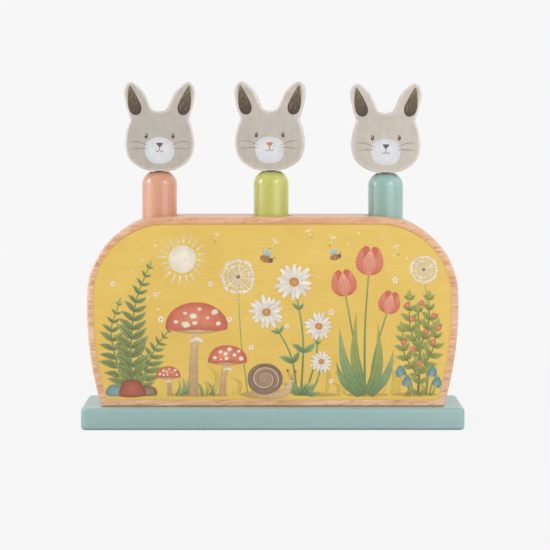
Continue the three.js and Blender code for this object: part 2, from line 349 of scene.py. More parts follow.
def panel_material():
    """Warm yellow printed over wood, cloudy and fibrous, with a darker rim of painted shade that is strongest
    at the top.
    """
    material, tree, shader, place = new_material("yellow_print", Coat_Weight=0.25, Coat_Roughness=0.3)
    fibres, bands, pores = grain(tree, place)
    cloudy = speckle(tree, place, 45, 4, 0.6, shift=(3, 5, 1))
    tone = weighed(tree, (cloudy, 0.7), (bands, 0.3))
    colour = three_tones(tree, tone, (0.32, 0.50, 0.70), [(224, 187, 87), (229, 193, 94), (234, 200, 104)])
    streaks = times(tree, spread(tree, fibres, 0.50, 0.68), 0.20)
    colour = blend_colours(tree, streaks, colour, paint(206, 163, 72))
    colour = blend_colours(tree, times(tree, pores, 0.22), colour, paint(190, 146, 74))
    # Painted shade along the print's edge, growing stronger towards the top
    strength = spread(tree, height_of(tree, place), 95 * MM, 112 * MM, 0.35, 0.95)
    rim = times(tree, spread(tree, stored(tree, "pool"), 0.1, 0.8), strength)
    colour = blend_colours(tree, rim, colour, paint(198, 132, 60))
    dress(tree, shader, colour, fibres, (0.42, 0.55), fibres, 0.2, 0.03)
    return material


def ink_material(name, mottle, fibre_axis="X", edge_dark=0.30):
    """Watercolour inks: the colour stored on the print, mottled and pooled darker at its edges."""
    material, tree, shader, place = new_material(name, Coat_Weight=0.12, Coat_Roughness=0.3)
    ink = stored(tree, "ink", "Color")
    cloudy = speckle(tree, place, 190, 4, 0.65, shift=(7, 2, 4))
    grainy = speckle(tree, place, 1500, 3, 0.6, shift=(1, 9, 5))
    fibres = speckle(tree, place, 1700, 4, 0.6, along_axis(fibre_axis, 0.05))
    wash = weighed(tree, (cloudy, 0.6), (grainy, 0.4))
    light = spread(tree, wash, 0.35, 0.65, 1 - mottle, 1 + mottle)
    light = times(tree, light, spread(tree, fibres, 0.35, 0.7, 1.03, 0.95))
    pooled = maths(tree, "POWER", stored(tree, "pool"), 3.0)
    light = times(tree, light, spread(tree, pooled, 0, 1, 1.0, 1 - edge_dark))
    shade = add(tree, "ShaderNodeCombineColor", {0: light, 1: light, 2: light}).outputs[0]
    colour = blend_colours(tree, 1.0, ink, shade, "MULTIPLY")
    dress(tree, shader, colour, grainy, (0.45, 0.6), fibres, 0.15, 0.02)
    return material


def board_material():
    """Grey teal paint over wood, with patchy painted shade on its rounded edges and painted shadow at its
    foot.
    """
    material, tree, shader, place = new_material("teal_board_paint", Coat_Weight=0.38, Coat_Roughness=0.24)
    fibres, bands, pores = grain(tree, place, shift=(2, 7, 1))
    tone = weighed(tree, (bands, 0.6), (fibres, 0.4))
    colour = three_tones(tree, tone, (0.30, 0.50, 0.70), [(145, 177, 174), (151, 182, 180), (157, 188, 186)])
    # Painted shade on the board's rounded edges, in patches, which tones down their highlight
    edge_wear_and_shade = spread(tree, stored(tree, "edge"), 0.35, 1.0)
    patchy = spread(tree, speckle(tree, place, 260, 4, 0.6), 0.35, 0.62, 0.4, 1)
    colour = blend_colours(tree, times(tree, edge_wear_and_shade, patchy), colour, paint(139, 169, 163))
    colour = blend_colours(tree, times(tree, pores, 0.18), colour, paint(116, 148, 142))
    # Painted shadow along the board's foot, where it meets the floor
    foot = shade_above(tree, place, 0, 0.1, 1.2, 0.75)
    colour = blend_colours(tree, foot, colour, paint(104, 136, 140))
    orange_peel = speckle(tree, place, 700, 3, 0.5)
    relief = maths(tree, "ADD", orange_peel, times(tree, fibres, 0.7))
    dress(tree, shader, colour, orange_peel, (0.38, 0.5), relief, 0.25, 0.04)
    return material


def lacquer_material(name, dark, light):
    """Glossy lacquer over turned wood, with faint turning rings and painted shade at the neck."""
    material, tree, shader, place = new_material(name, Coat_Weight=0.9, Coat_Roughness=0.17)
    cloudy = speckle(tree, place, 120, 4, 0.55, along_axis("Z", 0.3))
    rings = speckle(tree, place, 1500, 2, 0.5, (0.06, 0.06, 1))
    colour = blend_colours(tree, spread(tree, cloudy, 0.35, 0.65), dark, light)
    # Painted shade on the neck and the top of the shoulder, under the head
    deep = blend_colours(tree, 1.0, colour, paint(150, 118, 108), "MULTIPLY")
    colour = blend_colours(tree, stored(tree, "painted_shade"), colour, deep)
    relief = maths(tree, "ADD", cloudy, times(tree, rings, 0.3))
    dress(tree, shader, colour, rings, (0.30, 0.40), relief, 0.12, 0.05)
    return material


def head_material():
    """Off-white paint on sawn board, a little warmer where its edges are rubbed."""
    material, tree, shader, place = new_material("off_white_head_paint", Coat_Weight=0.1, Coat_Roughness=0.3)
    cloudy = speckle(tree, place, 160, 4, 0.6)
    fine = speckle(tree, place, 1600, 3, 0.6, along_axis("Y", 0.2))
    colour = blend_colours(tree, spread(tree, cloudy, 0.35, 0.65), paint(216, 206, 202), paint(225, 217, 213))
    edge_wear_and_shade = spread(tree, stored(tree, "edge"), 0.3, 1.0)
    patchy = spread(tree, speckle(tree, place, 150, 1, 0.5, shift=(4, 1, 2)), 0.35, 0.75)
    warm = times(tree, times(tree, edge_wear_and_shade, patchy), 0.4)
    colour = blend_colours(tree, warm, colour, paint(208, 192, 182))
    dress(tree, shader, colour, fine, (0.42, 0.55), fine, 0.15, 0.03)
    return material


def raw_wood_material():
    """Bare turned birch, its grain along Z."""
    material, tree, shader, place = new_material("raw_birch", Roughness=0.7)
    fibres, _, pores = grain(tree, place, "Z")
    colour = ramp(tree, fibres, [(0.35, paint(214, 180, 140)), (0.65, paint(233, 206, 172))])
    colour = blend_colours(tree, times(tree, pores, 0.4), colour, paint(170, 130, 92))
    plug(tree, shader.inputs["Base Color"], colour)
    bump(tree, shader, fibres, 0.3, 0.05)
    return material


def metal_material(name, dark, light, roughness):
    """Bright or plated steel with fine scratches."""
    material, tree, shader, place = new_material(name, Metallic=1.0)
    cloudy = speckle(tree, place, 500, 4, 0.6)
    scratches = speckle(tree, place, 2600, 3, 0.6, along_axis("Z", 0.15))
    dress(tree, shader, blend_colours(tree, cloudy, dark, light), scratches, roughness, scratches, 0.1, 0.02)
    return material


beech = beech_material()
yellow_print = panel_material()
meadow_ink = ink_material("meadow_ink", 0.13, edge_dark=0.16)
face_ink = ink_material("face_ink", 0.09, "Z", 0.06)
teal_paint = board_material()
salmon_lacquer = lacquer_material("salmon_lacquer", paint(207, 145, 113), paint(214, 154, 123))
green_lacquer = lacquer_material("green_lacquer", paint(188, 190, 88), paint(196, 197, 97))
blue_lacquer = lacquer_material("blue_lacquer", paint(137, 173, 164), paint(146, 181, 173))
head_paint = head_material()
raw_wood = raw_wood_material()
spring_steel = metal_material("spring_steel", paint(172, 174, 178), paint(206, 208, 212), (0.16, 0.32))
zinc_plate = metal_material("zinc_plate", paint(196, 194, 184), paint(222, 220, 212), (0.22, 0.4))


# Mesh helpers


def make_object(name, points, faces, material, values=None, colours=None, edges=()):
    """An object from points in millimetres, with numbers and colours stored on its points."""
    mesh = bpy.data.meshes.new(name)
    mesh.from_pydata([[c * MM for c in point] for point in points], list(edges), faces)
    for key, numbers in (values or {}).items():
        mesh.attributes.new(key, "FLOAT", "POINT").data.foreach_set("value", numbers)
    for key, inks in (colours or {}).items():
        flat = [channel for ink in inks for channel in ink]
        mesh.attributes.new(key, "FLOAT_COLOR", "POINT").data.foreach_set("color", flat)
    if faces:
        shell = bmesh.new()
        shell.from_mesh(mesh)
        bmesh.ops.remove_doubles(shell, verts=shell.verts, dist=1e-8)
        bmesh.ops.recalc_face_normals(shell, faces=shell.faces)
        shell.to_mesh(mesh)
        shell.free()
    if material:
        mesh.materials.append(material)
    made = bpy.data.objects.new(name, mesh)
    bpy.context.collection.objects.link(made)
    return made


def smooth(made, degrees=35):
    made.data.polygons.foreach_set("use_smooth", [True] * len(made.data.polygons))
    made.data.set_sharp_from_angle(angle=math.radians(degrees))


def drop(made):
    mesh = made.data
    bpy.data.objects.remove(made)
    bpy.data.meshes.remove(mesh)


def settle(made):
    """Turns an object with its modifiers into a plain mesh."""
    graph = bpy.context.evaluated_depsgraph_get()
    mesh = bpy.data.meshes.new_from_object(made.evaluated_get(graph), depsgraph=graph)
    old = made.data
    made.modifiers.clear()
    made.data = mesh
    bpy.data.meshes.remove(old)


def cut(made, cutters):
    for cutter in cutters:
        modifier = made.modifiers.new("cut", "BOOLEAN")
        modifier.operation = "DIFFERENCE"
        modifier.solver = "EXACT"
        modifier.object = cutter
    settle(made)
    for cutter in cutters:
        drop(cutter)


def arc(centre, radius, start, end, steps):
    """Points of an arc, both ends included, with angles in radians."""
    angles = [start + (end - start) * i / steps for i in range(steps + 1)]
    return [(centre[0] + radius * math.cos(a), centre[1] + radius * math.sin(a)) for a in angles]


def inward_normals(outline):
    """Inward unit normals of a closed outline that runs anticlockwise."""
    normals = []
    count = len(outline)
    for i in range(count):
        before = Vector(outline[i - 1])
        after = Vector(outline[(i + 1) % count])
        along = (after - before).normalized()
        normals.append(Vector((-along.y, along.x)))
    return normals


def ring_faces(rings, count, first=0):
    """Faces between rings of points that follow each other, each ring with the same count of points."""
    faces = []
    for ring in range(rings - 1):
        low = first + ring * count
        for i in range(count):
            j = (i + 1) % count
            faces.append([low + i, low + j, low + count + j, low + count + i])
    return faces


def end_faces(rings, count):
    """The first ring and the last, each as one face."""
    return [list(range(count)), list(range((rings - 1) * count, rings * count))]


def rectangle(half_x, half_y):
    return [(sx * half_x, sy * half_y) for sx, sy in ((-1, -1), (1, -1), (1, 1), (-1, 1))]


def prism(name, loop, bottom, top):
    points = [(x, y, z) for z in (bottom, top) for x, y in loop]
    return make_object(name, points, end_faces(2, len(loop)) + ring_faces(2, len(loop)), None)


def rounded_plate(outline, thickness, edge_round, steps, place):
    """A plate with rounded edges: rings of its outline from one face to the other, and how near each is to
    an edge. place(u, v, w) puts a point of the plate, with w across its thickness, in the world."""
    normals = inward_normals(outline)
    quarter = [math.pi / 2 * i / steps for i in range(steps + 1)]
    rim = [(edge_round * (1 - math.sin(a)), edge_round * (1 - math.cos(a)), math.sin(2 * a)) for a in quarter]
    half = [(edge_round + plate_hold, 0, 0)] + rim
    levels = [(inset, depth - thickness / 2, edge) for inset, depth, edge in half]
    levels += [(inset, thickness / 2 - depth, edge) for inset, depth, edge in reversed(half)]
    points = []
    edges = []
    for inset, level, edge in levels:
        for (u, v), normal in zip(outline, normals):
            points.append(place(u + normal.x * inset, v + normal.y * inset, level))
            edges.append(edge)
    rings, count = len(levels), len(outline)
    return points, end_faces(rings, count) + ring_faces(rings, count), edges


def lathe(name, profile, sides, material, centre=(0, 0, 0), smooth_degrees=35, painted_shade=None):
    """A profile of (radius, height) pairs, turned about the vertical through the centre, with its ends on
    the axis. painted_shade gives how much painted shade each pair of the profile gets, from 0 to 1."""
    points = []
    faces = []
    rings = []
    shade_values = []
    for number, (radius, height) in enumerate(profile):
        if painted_shade:
            shade_values += [painted_shade[number]] * (1 if radius == 0 else sides)
        if radius == 0:
            rings.append([len(points)])
            points.append((centre[0], centre[1], centre[2] + height))
            continue
        rings.append(list(range(len(points), len(points) + sides)))
        for i in range(sides):
            angle = 2 * math.pi * i / sides
            across = (radius * math.cos(angle), radius * math.sin(angle))
            points.append((centre[0] + across[0], centre[1] + across[1], centre[2] + height))
    for low, high in zip(rings, rings[1:]):
        for i in range(sides):
            j = (i + 1) % sides
            corners = [low[i % len(low)], low[j % len(low)], high[j % len(high)], high[i % len(high)]]
            face = list(dict.fromkeys(corners))
            if len(face) > 2:
                faces.append(face)
    made = make_object(name, points, faces, material, {"painted_shade": shade_values} if painted_shade else None)
    smooth(made, smooth_degrees)
    return made


# Geometry Nodes


def new_tree(name, inputs):
    tree = bpy.data.node_groups.new(name, "GeometryNodeTree")
    tree.interface.new_socket("Geometry", in_out="INPUT", socket_type="NodeSocketGeometry")
    for label, kind in inputs:
        tree.interface.new_socket(label, in_out="INPUT", socket_type="NodeSocket" + kind)
    tree.interface.new_socket("Geometry", in_out="OUTPUT", socket_type="NodeSocketGeometry")
    return tree, tree.nodes.new("NodeGroupInput").outputs


def end_tree(tree, geometry, material):
    whole = add(tree, "GeometryNodeRealizeInstances", {0: geometry}).outputs[0]
    dressed = add(tree, "GeometryNodeSetMaterial", {"Geometry": whole, "Material": material}).outputs[0]
    end = tree.nodes.new("NodeGroupOutput")
    tree.links.new(dressed, end.inputs[0])
    return tree


def run_tree(source, tree, values):
    """Runs a tree on an object, with its inputs set by name, and leaves the object as a plain mesh."""
    modifier = source.modifiers.new(tree.name, "NODES")
    modifier.node_group = tree
    for item in tree.interface.items_tree:
        if item.item_type == "SOCKET" and item.in_out == "INPUT" and item.name in values:
            modifier[item.identifier] = values[item.name]
    settle(source)
    return source


def random_between(tree, low, high, seed):
    inputs = {2: low, 3: high, "Seed": seed}
    return add(tree, "FunctionNodeRandomValue", inputs, data_type="FLOAT").outputs[1]


def either_way(tree, seed):
    return random_between(tree, -1.0, 1.0, seed)


def turned_about_y(tree, angle):
    euler = add(tree, "ShaderNodeCombineXYZ", {1: angle}).outputs[0]
    return add(tree, "FunctionNodeEulerToRotation", {0: euler}).outputs[0]


def flat_scale(tree, size):
    """A scale that leaves the thickness of a printed flake as it is."""
    return add(tree, "ShaderNodeCombineXYZ", {0: size, 1: 1.0, 2: size}).outputs[0]


def place_flakes(tree, points, piece, angle, size, seed, step, order):
    """Instances of a printed flake, each a hair in front of the one before and with its own tint."""
    shape = add(tree, "GeometryNodeObjectInfo", {"Object": piece}).outputs["Geometry"]
    lift = times(tree, order, times(tree, step, -MM))
    offset = add(tree, "ShaderNodeCombineXYZ", {1: lift}).outputs[0]
    raised = add(tree, "GeometryNodeSetPosition", {"Geometry": points, "Offset": offset}).outputs[0]
    inputs = {
        "Points": raised,
        "Instance": shape,
        "Rotation": turned_about_y(tree, angle),
        "Scale": flat_scale(tree, size),
    }
    placed = add(tree, "GeometryNodeInstanceOnPoints", inputs).outputs[0]
    tinted = {"Geometry": placed, "Name": "tint", "Value": random_between(tree, *tint_range, seed)}
    kind = "GeometryNodeStoreNamedAttribute"
    return add(tree, kind, tinted, data_type="FLOAT", domain="INSTANCE").outputs[0]


# How light or dark a flake may be, how long or short a leaf, and how far in radians a leaf may lean
tint_range = (0.9, 1.08)
leaf_length_range = (0.88, 1.12)
leaf_lean_range = (-0.14, 0.14)
# The share of a stem over which its leaves grow to their full length
stem_foot_share = 0.3
# Scattered points in a square metre, before the spacing thins them out
scatter_density = 4000000.0


def leaves_along_stem_tree():
    """Pairs of leaves along a stem, smaller at its foot and towards its tip."""
    tree, given = new_tree("leaves_along_stem", [
        ("Leaf", "Object"), ("Leaf pairs", "Int"), ("Leaf length", "Float"), ("Lean", "Float"),
        ("Foot share", "Float"), ("Tip share", "Float"), ("Layer step", "Float"), ("Seed", "Int"),
        ("Material", "Material"),
    ])
    curve = add(tree, "GeometryNodeMeshToCurve", {0: given["Geometry"]}).outputs[0]
    resampled = add(tree, "GeometryNodeResampleCurve", {"Curve": curve, "Count": given["Leaf pairs"]})
    along = add(tree, "GeometryNodeSplineParameter").outputs["Factor"]
    way = add(tree, "ShaderNodeSeparateXYZ", {0: tree.nodes.new("GeometryNodeInputTangent").outputs[0]})
    heading = maths(tree, "ARCTAN2", way.outputs[0], way.outputs[2])
    foot = spread(tree, along, 0.0, stem_foot_share, given["Foot share"], 1.0)
    tip = spread(tree, along, stem_foot_share, 1.0, 1.0, given["Tip share"])
    length = times(tree, given["Leaf length"], times(tree, foot, tip))
    order = tree.nodes.new("GeometryNodeInputIndex").outputs[0]
    join = tree.nodes.new("GeometryNodeJoinGeometry")
    for number, side in enumerate((-1, 1)):
        seed = maths(tree, "ADD", given["Seed"], number)
        leaning = maths(tree, "ADD", heading, times(tree, given["Lean"], side))
        angle = maths(tree, "ADD", leaning, random_between(tree, *leaf_lean_range, seed))
        size = times(tree, length, random_between(tree, *leaf_length_range, seed))
        place = maths(tree, "ADD", times(tree, order, 2.0), number)
        leaf_set = place_flakes(
            tree, resampled.outputs[0], given["Leaf"], angle, size, seed, given["Layer step"], place,
        )
        tree.links.new(leaf_set, join.inputs[0])
    return end_tree(tree, join.outputs[0], given["Material"])


def ring_of_petals_tree():
    """A ring of petals, rays or seeds round each point, whose size and spin are stored on the point."""
    tree, given = new_tree("ring_of_petals", [
        ("Petal", "Object"), ("Petals", "Int"), ("Sway", "Float"), ("Uneven", "Float"),
        ("Layer step", "Float"), ("Seed", "Int"), ("Material", "Material"),
    ])
    inputs = {"Geometry": given["Geometry"], "Amount": given["Petals"]}
    copies = add(tree, "GeometryNodeDuplicateElements", inputs, domain="POINT")
    number = copies.outputs["Duplicate Index"]
    share = maths(tree, "DIVIDE", times(tree, number, 2 * math.pi), given["Petals"])
    sway = times(tree, given["Sway"], either_way(tree, given["Seed"]))
    spin = add(tree, "GeometryNodeInputNamedAttribute", {"Name": "spin"}, data_type="FLOAT").outputs[0]
    size = add(tree, "GeometryNodeInputNamedAttribute", {"Name": "size"}, data_type="FLOAT").outputs[0]
    angle = maths(tree, "ADD", maths(tree, "ADD", share, sway), spin)
    seed = maths(tree, "ADD", given["Seed"], 1)
    uneven = times(tree, given["Uneven"], either_way(tree, seed))
    length = times(tree, size, maths(tree, "ADD", 1.0, uneven))
    placed = place_flakes(
        tree, copies.outputs[0], given["Petal"], angle, length, given["Seed"], given["Layer step"], number,
    )
    return end_tree(tree, placed, given["Material"])


def scatter_tree():
    """Flakes scattered over a patch, no nearer to each other than the spacing."""
    tree, given = new_tree("scatter_on_patch", [
        ("Flake", "Object"), ("Spacing", "Float"), ("Least size", "Float"), ("Largest size", "Float"),
        ("Heading", "Float"), ("Spin range", "Float"), ("Layer step", "Float"), ("Seed", "Int"),
        ("Material", "Material"),
    ])
    inputs = {
        "Mesh": given["Geometry"],
        "Distance Min": times(tree, given["Spacing"], MM),
        "Density Max": scatter_density,
        "Seed": given["Seed"],
    }
    scatter = add(tree, "GeometryNodeDistributePointsOnFaces", inputs, distribute_method="POISSON")
    turn = times(tree, given["Spin range"], either_way(tree, given["Seed"]))
    angle = maths(tree, "ADD", given["Heading"], turn)
    seed = maths(tree, "ADD", given["Seed"], 1)
    size = random_between(tree, given["Least size"], given["Largest size"], seed)
    order = tree.nodes.new("GeometryNodeInputIndex").outputs[0]
    placed = place_flakes(
        tree, scatter.outputs["Points"], given["Flake"], angle, size, seed, given["Layer step"], order,
    )
    return end_tree(tree, placed, given["Material"])


def coil_tree():
    """Round wire along a path."""
    tree, given = new_tree("coil_of_wire", [
        ("Wire radius", "Float"), ("Wire sides", "Int"), ("Material", "Material"),
    ])
    curve = add(tree, "GeometryNodeMeshToCurve", {0: given["Geometry"]}).outputs[0]
    ring = {"Resolution": given["Wire sides"], "Radius": given["Wire radius"]}
    profile = add(tree, "GeometryNodeCurvePrimitiveCircle", ring).outputs[0]
    inputs = {"Curve": curve, "Profile Curve": profile, "Fill Caps": True}
    wire = add(tree, "GeometryNodeCurveToMesh", inputs).outputs[0]
    return end_tree(tree, wire, given["Material"])


def same_at_points_tree():
    """The same piece, upright, at each point."""
    tree, given = new_tree("same_at_points", [("Piece", "Object"), ("Material", "Material")])
    shape = add(tree, "GeometryNodeObjectInfo", {"Object": given["Piece"]}).outputs["Geometry"]
    inputs = {"Points": given["Geometry"], "Instance": shape}
    placed = add(tree, "GeometryNodeInstanceOnPoints", inputs).outputs[0]
    return end_tree(tree, placed, given["Material"])


leaves_along_stem = leaves_along_stem_tree()
ring_of_petals = ring_of_petals_tree()
scatter_on_patch = scatter_tree()
coil_of_wire = coil_tree()
same_at_points = same_at_points_tree()


# Block, board, pegs, heads, springs and screws


def block_arcs():
    """Centres of the block's side and shoulder arcs, and the angle at which the two arcs meet."""
    side_x = block_width / 2 - block_side_radius
    shoulder_z = block_height - block_shoulder_radius
    reach = block_side_radius - block_shoulder_radius
    shoulder_x = side_x + math.sqrt(reach ** 2 - (shoulder_z - block_widest_height) ** 2)
    angle = math.atan2(shoulder_z - block_widest_height, shoulder_x - side_x)
    return (side_x, block_widest_height), (shoulder_x, shoulder_z), angle


def block_outline(inset=0.0, foot_inset=0.0, foot_radius=block_foot_radius):
    """The block's front outline, right side first, drawn in by an inset and lifted at its foot."""
    side, shoulder, meet = block_arcs()
    side_radius = block_side_radius - inset
    reach = side_radius - foot_radius
    foot_z = foot_inset + foot_radius
    foot_x = side[0] + math.sqrt(reach ** 2 - (side[1] - foot_z) ** 2)
    foot_angle = math.atan2(foot_z - side[1], foot_x - side[0])
    right = arc((foot_x, foot_z), foot_radius, -math.pi / 2, foot_angle, block_foot_steps)
    right += arc(side, side_radius, foot_angle, meet, block_side_steps)[1:]
    right += arc(shoulder, block_shoulder_radius - inset, meet, math.pi / 2, block_shoulder_steps)[1:]
    left = [(-x, z) for x, z in reversed(right)]
    return right + left


def top_of_block(x):
    """Height of the block's top at x, above its own foot."""
    shoulder = block_arcs()[1]
    past = max(0.0, abs(x) - shoulder[0])
    if past >= block_shoulder_radius:
        return shoulder[1]
    return shoulder[1] + math.sqrt(block_shoulder_radius ** 2 - past ** 2)


def bore_cutter(x):
    """A bore with a rounded mouth that follows the curve of the block's top."""
    rings = []
    for i in range(bore_round_steps + 1):
        a = math.pi / 2 * i / bore_round_steps
        flare = bore_mouth_round * (1 - math.cos(a))
        rings.append((bore_radius + flare, -bore_mouth_round * (1 - math.sin(a))))
    rings.append((bore_radius + bore_mouth_round + bore_cut_flare, bore_cut_above))
    circle = [2 * math.pi * i / bore_sides for i in range(bore_sides)]
    bottom = board_size[2] - bore_cut_below
    points = [(x + bore_radius * math.cos(a), bore_radius * math.sin(a), bottom) for a in circle]
    for radius, above in rings:
        for a in circle:
            px = x + radius * math.cos(a)
            points.append((px, radius * math.sin(a), board_size[2] + top_of_block(px) + above))
    count = len(rings) + 1
    faces = end_faces(count, bore_sides) + ring_faces(count, bore_sides)
    return make_object("bore_cutter", points, faces, None)


def round_cutter(name, radius, bottom, top, centre):
    profile = [(0, bottom), (radius, bottom), (radius, top), (0, top)]
    return lathe(name, profile, pilot_sides, None, centre)


def screw_places():
    """The four screws through the board stand between the bores."""
    x = figure_spacing / 2
    y = block_screw_spacing / 2
    return [(sx * x, sy * y) for sy in (-1, 1) for sx in (-1, 1)]


def screw_hole(x, y):
    """A countersunk hole through the board into the block, a seat gap wider than its screw."""
    head = block_screw_head_radius + seat_gap
    radius = block_screw_radius + seat_gap
    neck = block_screw_head_rim + block_screw_head_radius - block_screw_radius
    top = block_screw_length + seat_gap
    profile = [(0, -cut_overrun), (head, -cut_overrun), (head, block_screw_head_rim)]
    profile += [(radius, neck), (radius, top), (0, top)]
    return lathe("hole_cutter", profile, hole_sides, None, (x, y, block_screw_recess))


def foot_cutter():
    """A slab up to the board's top, which planes the foot of the block flat."""
    top = board_size[2]
    return prism("foot_cutter", rectangle(block_width, block_depth), top - foot_cut_below, top)


def make_block():
    """The beech block on the board, with its bores and screw holes."""
    def stand(u, v, w):
        return (u, w, board_size[2] + v)

    outline = block_outline(foot_inset=-block_foot_planed)
    points, faces, edges = rounded_plate(outline, block_depth, block_edge_round, block_round_steps, stand)
    block = make_object("beech_block", points, faces, beech, {"edge": edges})
    cutters = [bore_cutter(x) for x in bore_places]
    cutters += [screw_hole(*place) for place in screw_places()]
    cut(block, cutters + [foot_cutter()])
    smooth(block, sharp_degrees)
    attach(block, "base")
    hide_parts("body_block")


def make_board():
    """The painted board, with its rounded corners, screw holes and the springs' pilot holes."""
    length, depth, thickness = board_size
    x = length / 2 - board_corner_radius
    y = depth / 2 - board_corner_radius
    outline = []
    for number, corner in enumerate(((x, -y), (x, y), (-x, y), (-x, -y))):
        end = number * math.pi / 2
        outline += arc(corner, board_corner_radius, end - math.pi / 2, end, corner_steps)

    def lay(u, v, w):
        return (u, v, thickness / 2 + w)

    points, faces, edges = rounded_plate(outline, thickness, board_edge_round, board_round_steps, lay)
    board = make_object("painted_board", points, faces, teal_paint, {"edge": edges})
    cutters = [screw_hole(*place) for place in screw_places()]
    bottom = thickness - spring_screw_length + 2 * seat_gap + 2 * wire_radius
    radius = spring_screw_radius + seat_gap
    for place in bore_places:
        cutters.append(round_cutter("pilot_cutter", radius, bottom, thickness + cut_overrun, (place, 0, 0)))
    cut(board, cutters)
    smooth(board, sharp_degrees)
    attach(board, "base")
    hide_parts("base_board")


# How much painted shade the last rings of a peg's shoulder get, towards its neck under the head
shoulder_shade_shares = [0.04, 0.08, 0.14, 0.22, 0.32, 0.45, 0.6]


def make_peg(side, x, offset, rise, material, slot):
    """A turned peg with a rounded shoulder, a short neck and the socket for its dowel."""
    foot = -(rise + peg_insert)
    centre_x = peg_radius - peg_shoulder_radius
    flat_angle = math.acos((peg_shoulder_flat / 2 - centre_x) / peg_shoulder_radius)
    centre_z = peg_top - peg_neck_height - peg_shoulder_radius * math.sin(flat_angle)
    sole = peg_radius - peg_foot_chamfer
    side_foot = foot + peg_foot_chamfer
    profile = [(0, foot), (sole - corner_hold, foot), (sole, foot + corner_ease)]
    profile += [(peg_radius - corner_ease, side_foot), (peg_radius, side_foot + corner_hold + corner_ease)]
    profile += arc((centre_x, centre_z), peg_shoulder_radius, 0, flat_angle, peg_shoulder_steps)
    body_end = len(profile)
    neck_foot = (peg_neck_waist + peg_neck_round, peg_top + peg_neck_round - peg_neck_height)
    profile += arc(neck_foot, peg_neck_round, 1.5 * math.pi, math.pi, peg_neck_steps)
    socket = dowel_radius + seat_gap
    bottom = -dowel_half - seat_gap
    profile += [(peg_neck_waist, peg_top - peg_neck_bevel), (peg_neck_waist - peg_neck_bevel, peg_top)]
    profile += [(socket + corner_hold, peg_top), (socket, peg_top - corner_hold)]
    profile += [(socket, bottom), (0, bottom)]
    # Painted shade that grows over the shoulder's last rings and is full from the neck on
    painted_shade = [0.0] * (body_end - len(shoulder_shade_shares)) + shoulder_shade_shares
    painted_shade += [1.0] * (len(profile) - body_end)
    centre = (x + offset, 0, block_top + rise)
    peg = lathe(f"turned_peg_{side}", profile, peg_sides, material, centre, painted_shade=painted_shade)
    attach(peg, f"{side}_figure")
    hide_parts(f"peg_{side}")


def catmull_rom(points, closed, steps):
    """A centripetal Catmull-Rom curve through the points, with the same number of steps in each stretch."""
    count = len(points)
    result = []
    stretches = count if closed else count - 1
    for i in range(stretches):
        if closed:
            quad = [Vector(points[(i + k) % count]) for k in (-1, 0, 1, 2)]
        else:
            first = Vector(points[i])
            last = Vector(points[i + 1])
            before = Vector(points[i - 1]) if i > 0 else 2 * first - last
            after = Vector(points[i + 2]) if i + 2 < count else 2 * last - first
            quad = [before, first, last, after]
        knots = [0.0]
        for p, q in zip(quad, quad[1:]):
            knots.append(knots[-1] + max(1e-6, (q - p).length ** 0.5))
        for step in range(steps):
            t = knots[1] + (knots[2] - knots[1]) * step / steps
            level = quad
            for reach in (1, 2):
                level = [
                    level[k] * ((knots[k + reach] - t) / (knots[k + reach] - knots[k]))
                    + level[k + 1] * ((t - knots[k]) / (knots[k + reach] - knots[k]))
                    for k in range(4 - reach)
                ]
            share = (t - knots[1]) / (knots[2] - knots[1])
            result.append(level[0] * (1 - share) + level[1] * share)
    if not closed:
        result.append(Vector(points[-1]))
    return result


def head_outline():
    """The head's outline as points from its chin, anticlockwise as seen from the front."""
    half = head_width / 2
    right = [(across * half, up * head_height) for across, up in head_outline_shares]
    left = [(-x, z) for x, z in reversed(right[1:])]
    corners = right + [(0, crown_share * head_height)] + left
    return [(p.x, p.y) for p in catmull_rom(corners, True, head_outline_steps)]


def head_placer(x, offset, rise, turn, drift):
    """Puts a point of a head, given by how far it lies right of the middle, above the chin and behind the
    middle plane, in the world."""
    angle = math.radians(turn)

    def place(u, v, w):
        px = u + drift
        return (
            x + offset + px * math.cos(angle) - w * math.sin(angle),
            px * math.sin(angle) + w * math.cos(angle),
            block_top + rise + seat_gap + v,
        )

    return place


def make_head(side, place, x, offset, rise):
    """A flat rabbit head with the socket for its dowel."""
    outline = head_outline()
    points, faces, edges = rounded_plate(outline, head_thickness, head_edge_round, head_round_steps, place)
    head = make_object(f"head_board_{side}", points, faces, head_paint, {"edge": edges})
    centre = (x + offset, 0, block_top + rise + seat_gap)
    radius = dowel_radius + seat_gap
    cut(head, [round_cutter("socket_cutter", radius, -cut_overrun, dowel_half + seat_gap, centre)])
    smooth(head, sharp_degrees)
    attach(head, f"{side}_figure")
    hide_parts(f"head_{side}")


def spring_path(x):
    """Centreline of a spring: an eye for its screw, a sweep out to the coil, a foot, the turns and a seat."""
    rise_start = spring_eye_turns + spring_sweep_turns + spring_foot_turns
    turns = rise_start + spring_active_turns + spring_seat_turns
    length = block_height - peg_insert - 2 * seat_gap
    path = []
    steps = round(turns * spring_steps_per_turn)
    for i in range(steps + 1):
        turn = turns * i / steps
        swept = min(1.0, max(0.0, (turn - spring_eye_turns) / spring_sweep_turns))
        radius = spring_eye_radius + (spring_radius - spring_eye_radius) * swept
        risen = min(1.0, max(0.0, (turn - rise_start) / spring_active_turns))
        height = board_size[2] + seat_gap + wire_radius + (length - 2 * wire_radius) * risen
        angle = 2 * math.pi * turn
        path.append((x + radius * math.cos(angle), radius * math.sin(angle), height))
    return path


def polyline(name, path):
    edges = [(i, i + 1) for i in range(len(path) - 1)]
    return make_object(name, path, [], None, edges=edges)


def make_spring(side, x, travel):
    """A wound spring of round wire along its path."""
    spring = polyline(f"coil_spring_{side}", spring_path(x))
    values = {"Wire radius": wire_radius * MM, "Wire sides": wire_sides, "Material": spring_steel}
    run_tree(spring, coil_of_wire, values)
    smooth(spring, wire_sharp_degrees)
    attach(spring, "base")
    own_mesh(spring)
    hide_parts(f"spring_{side}")


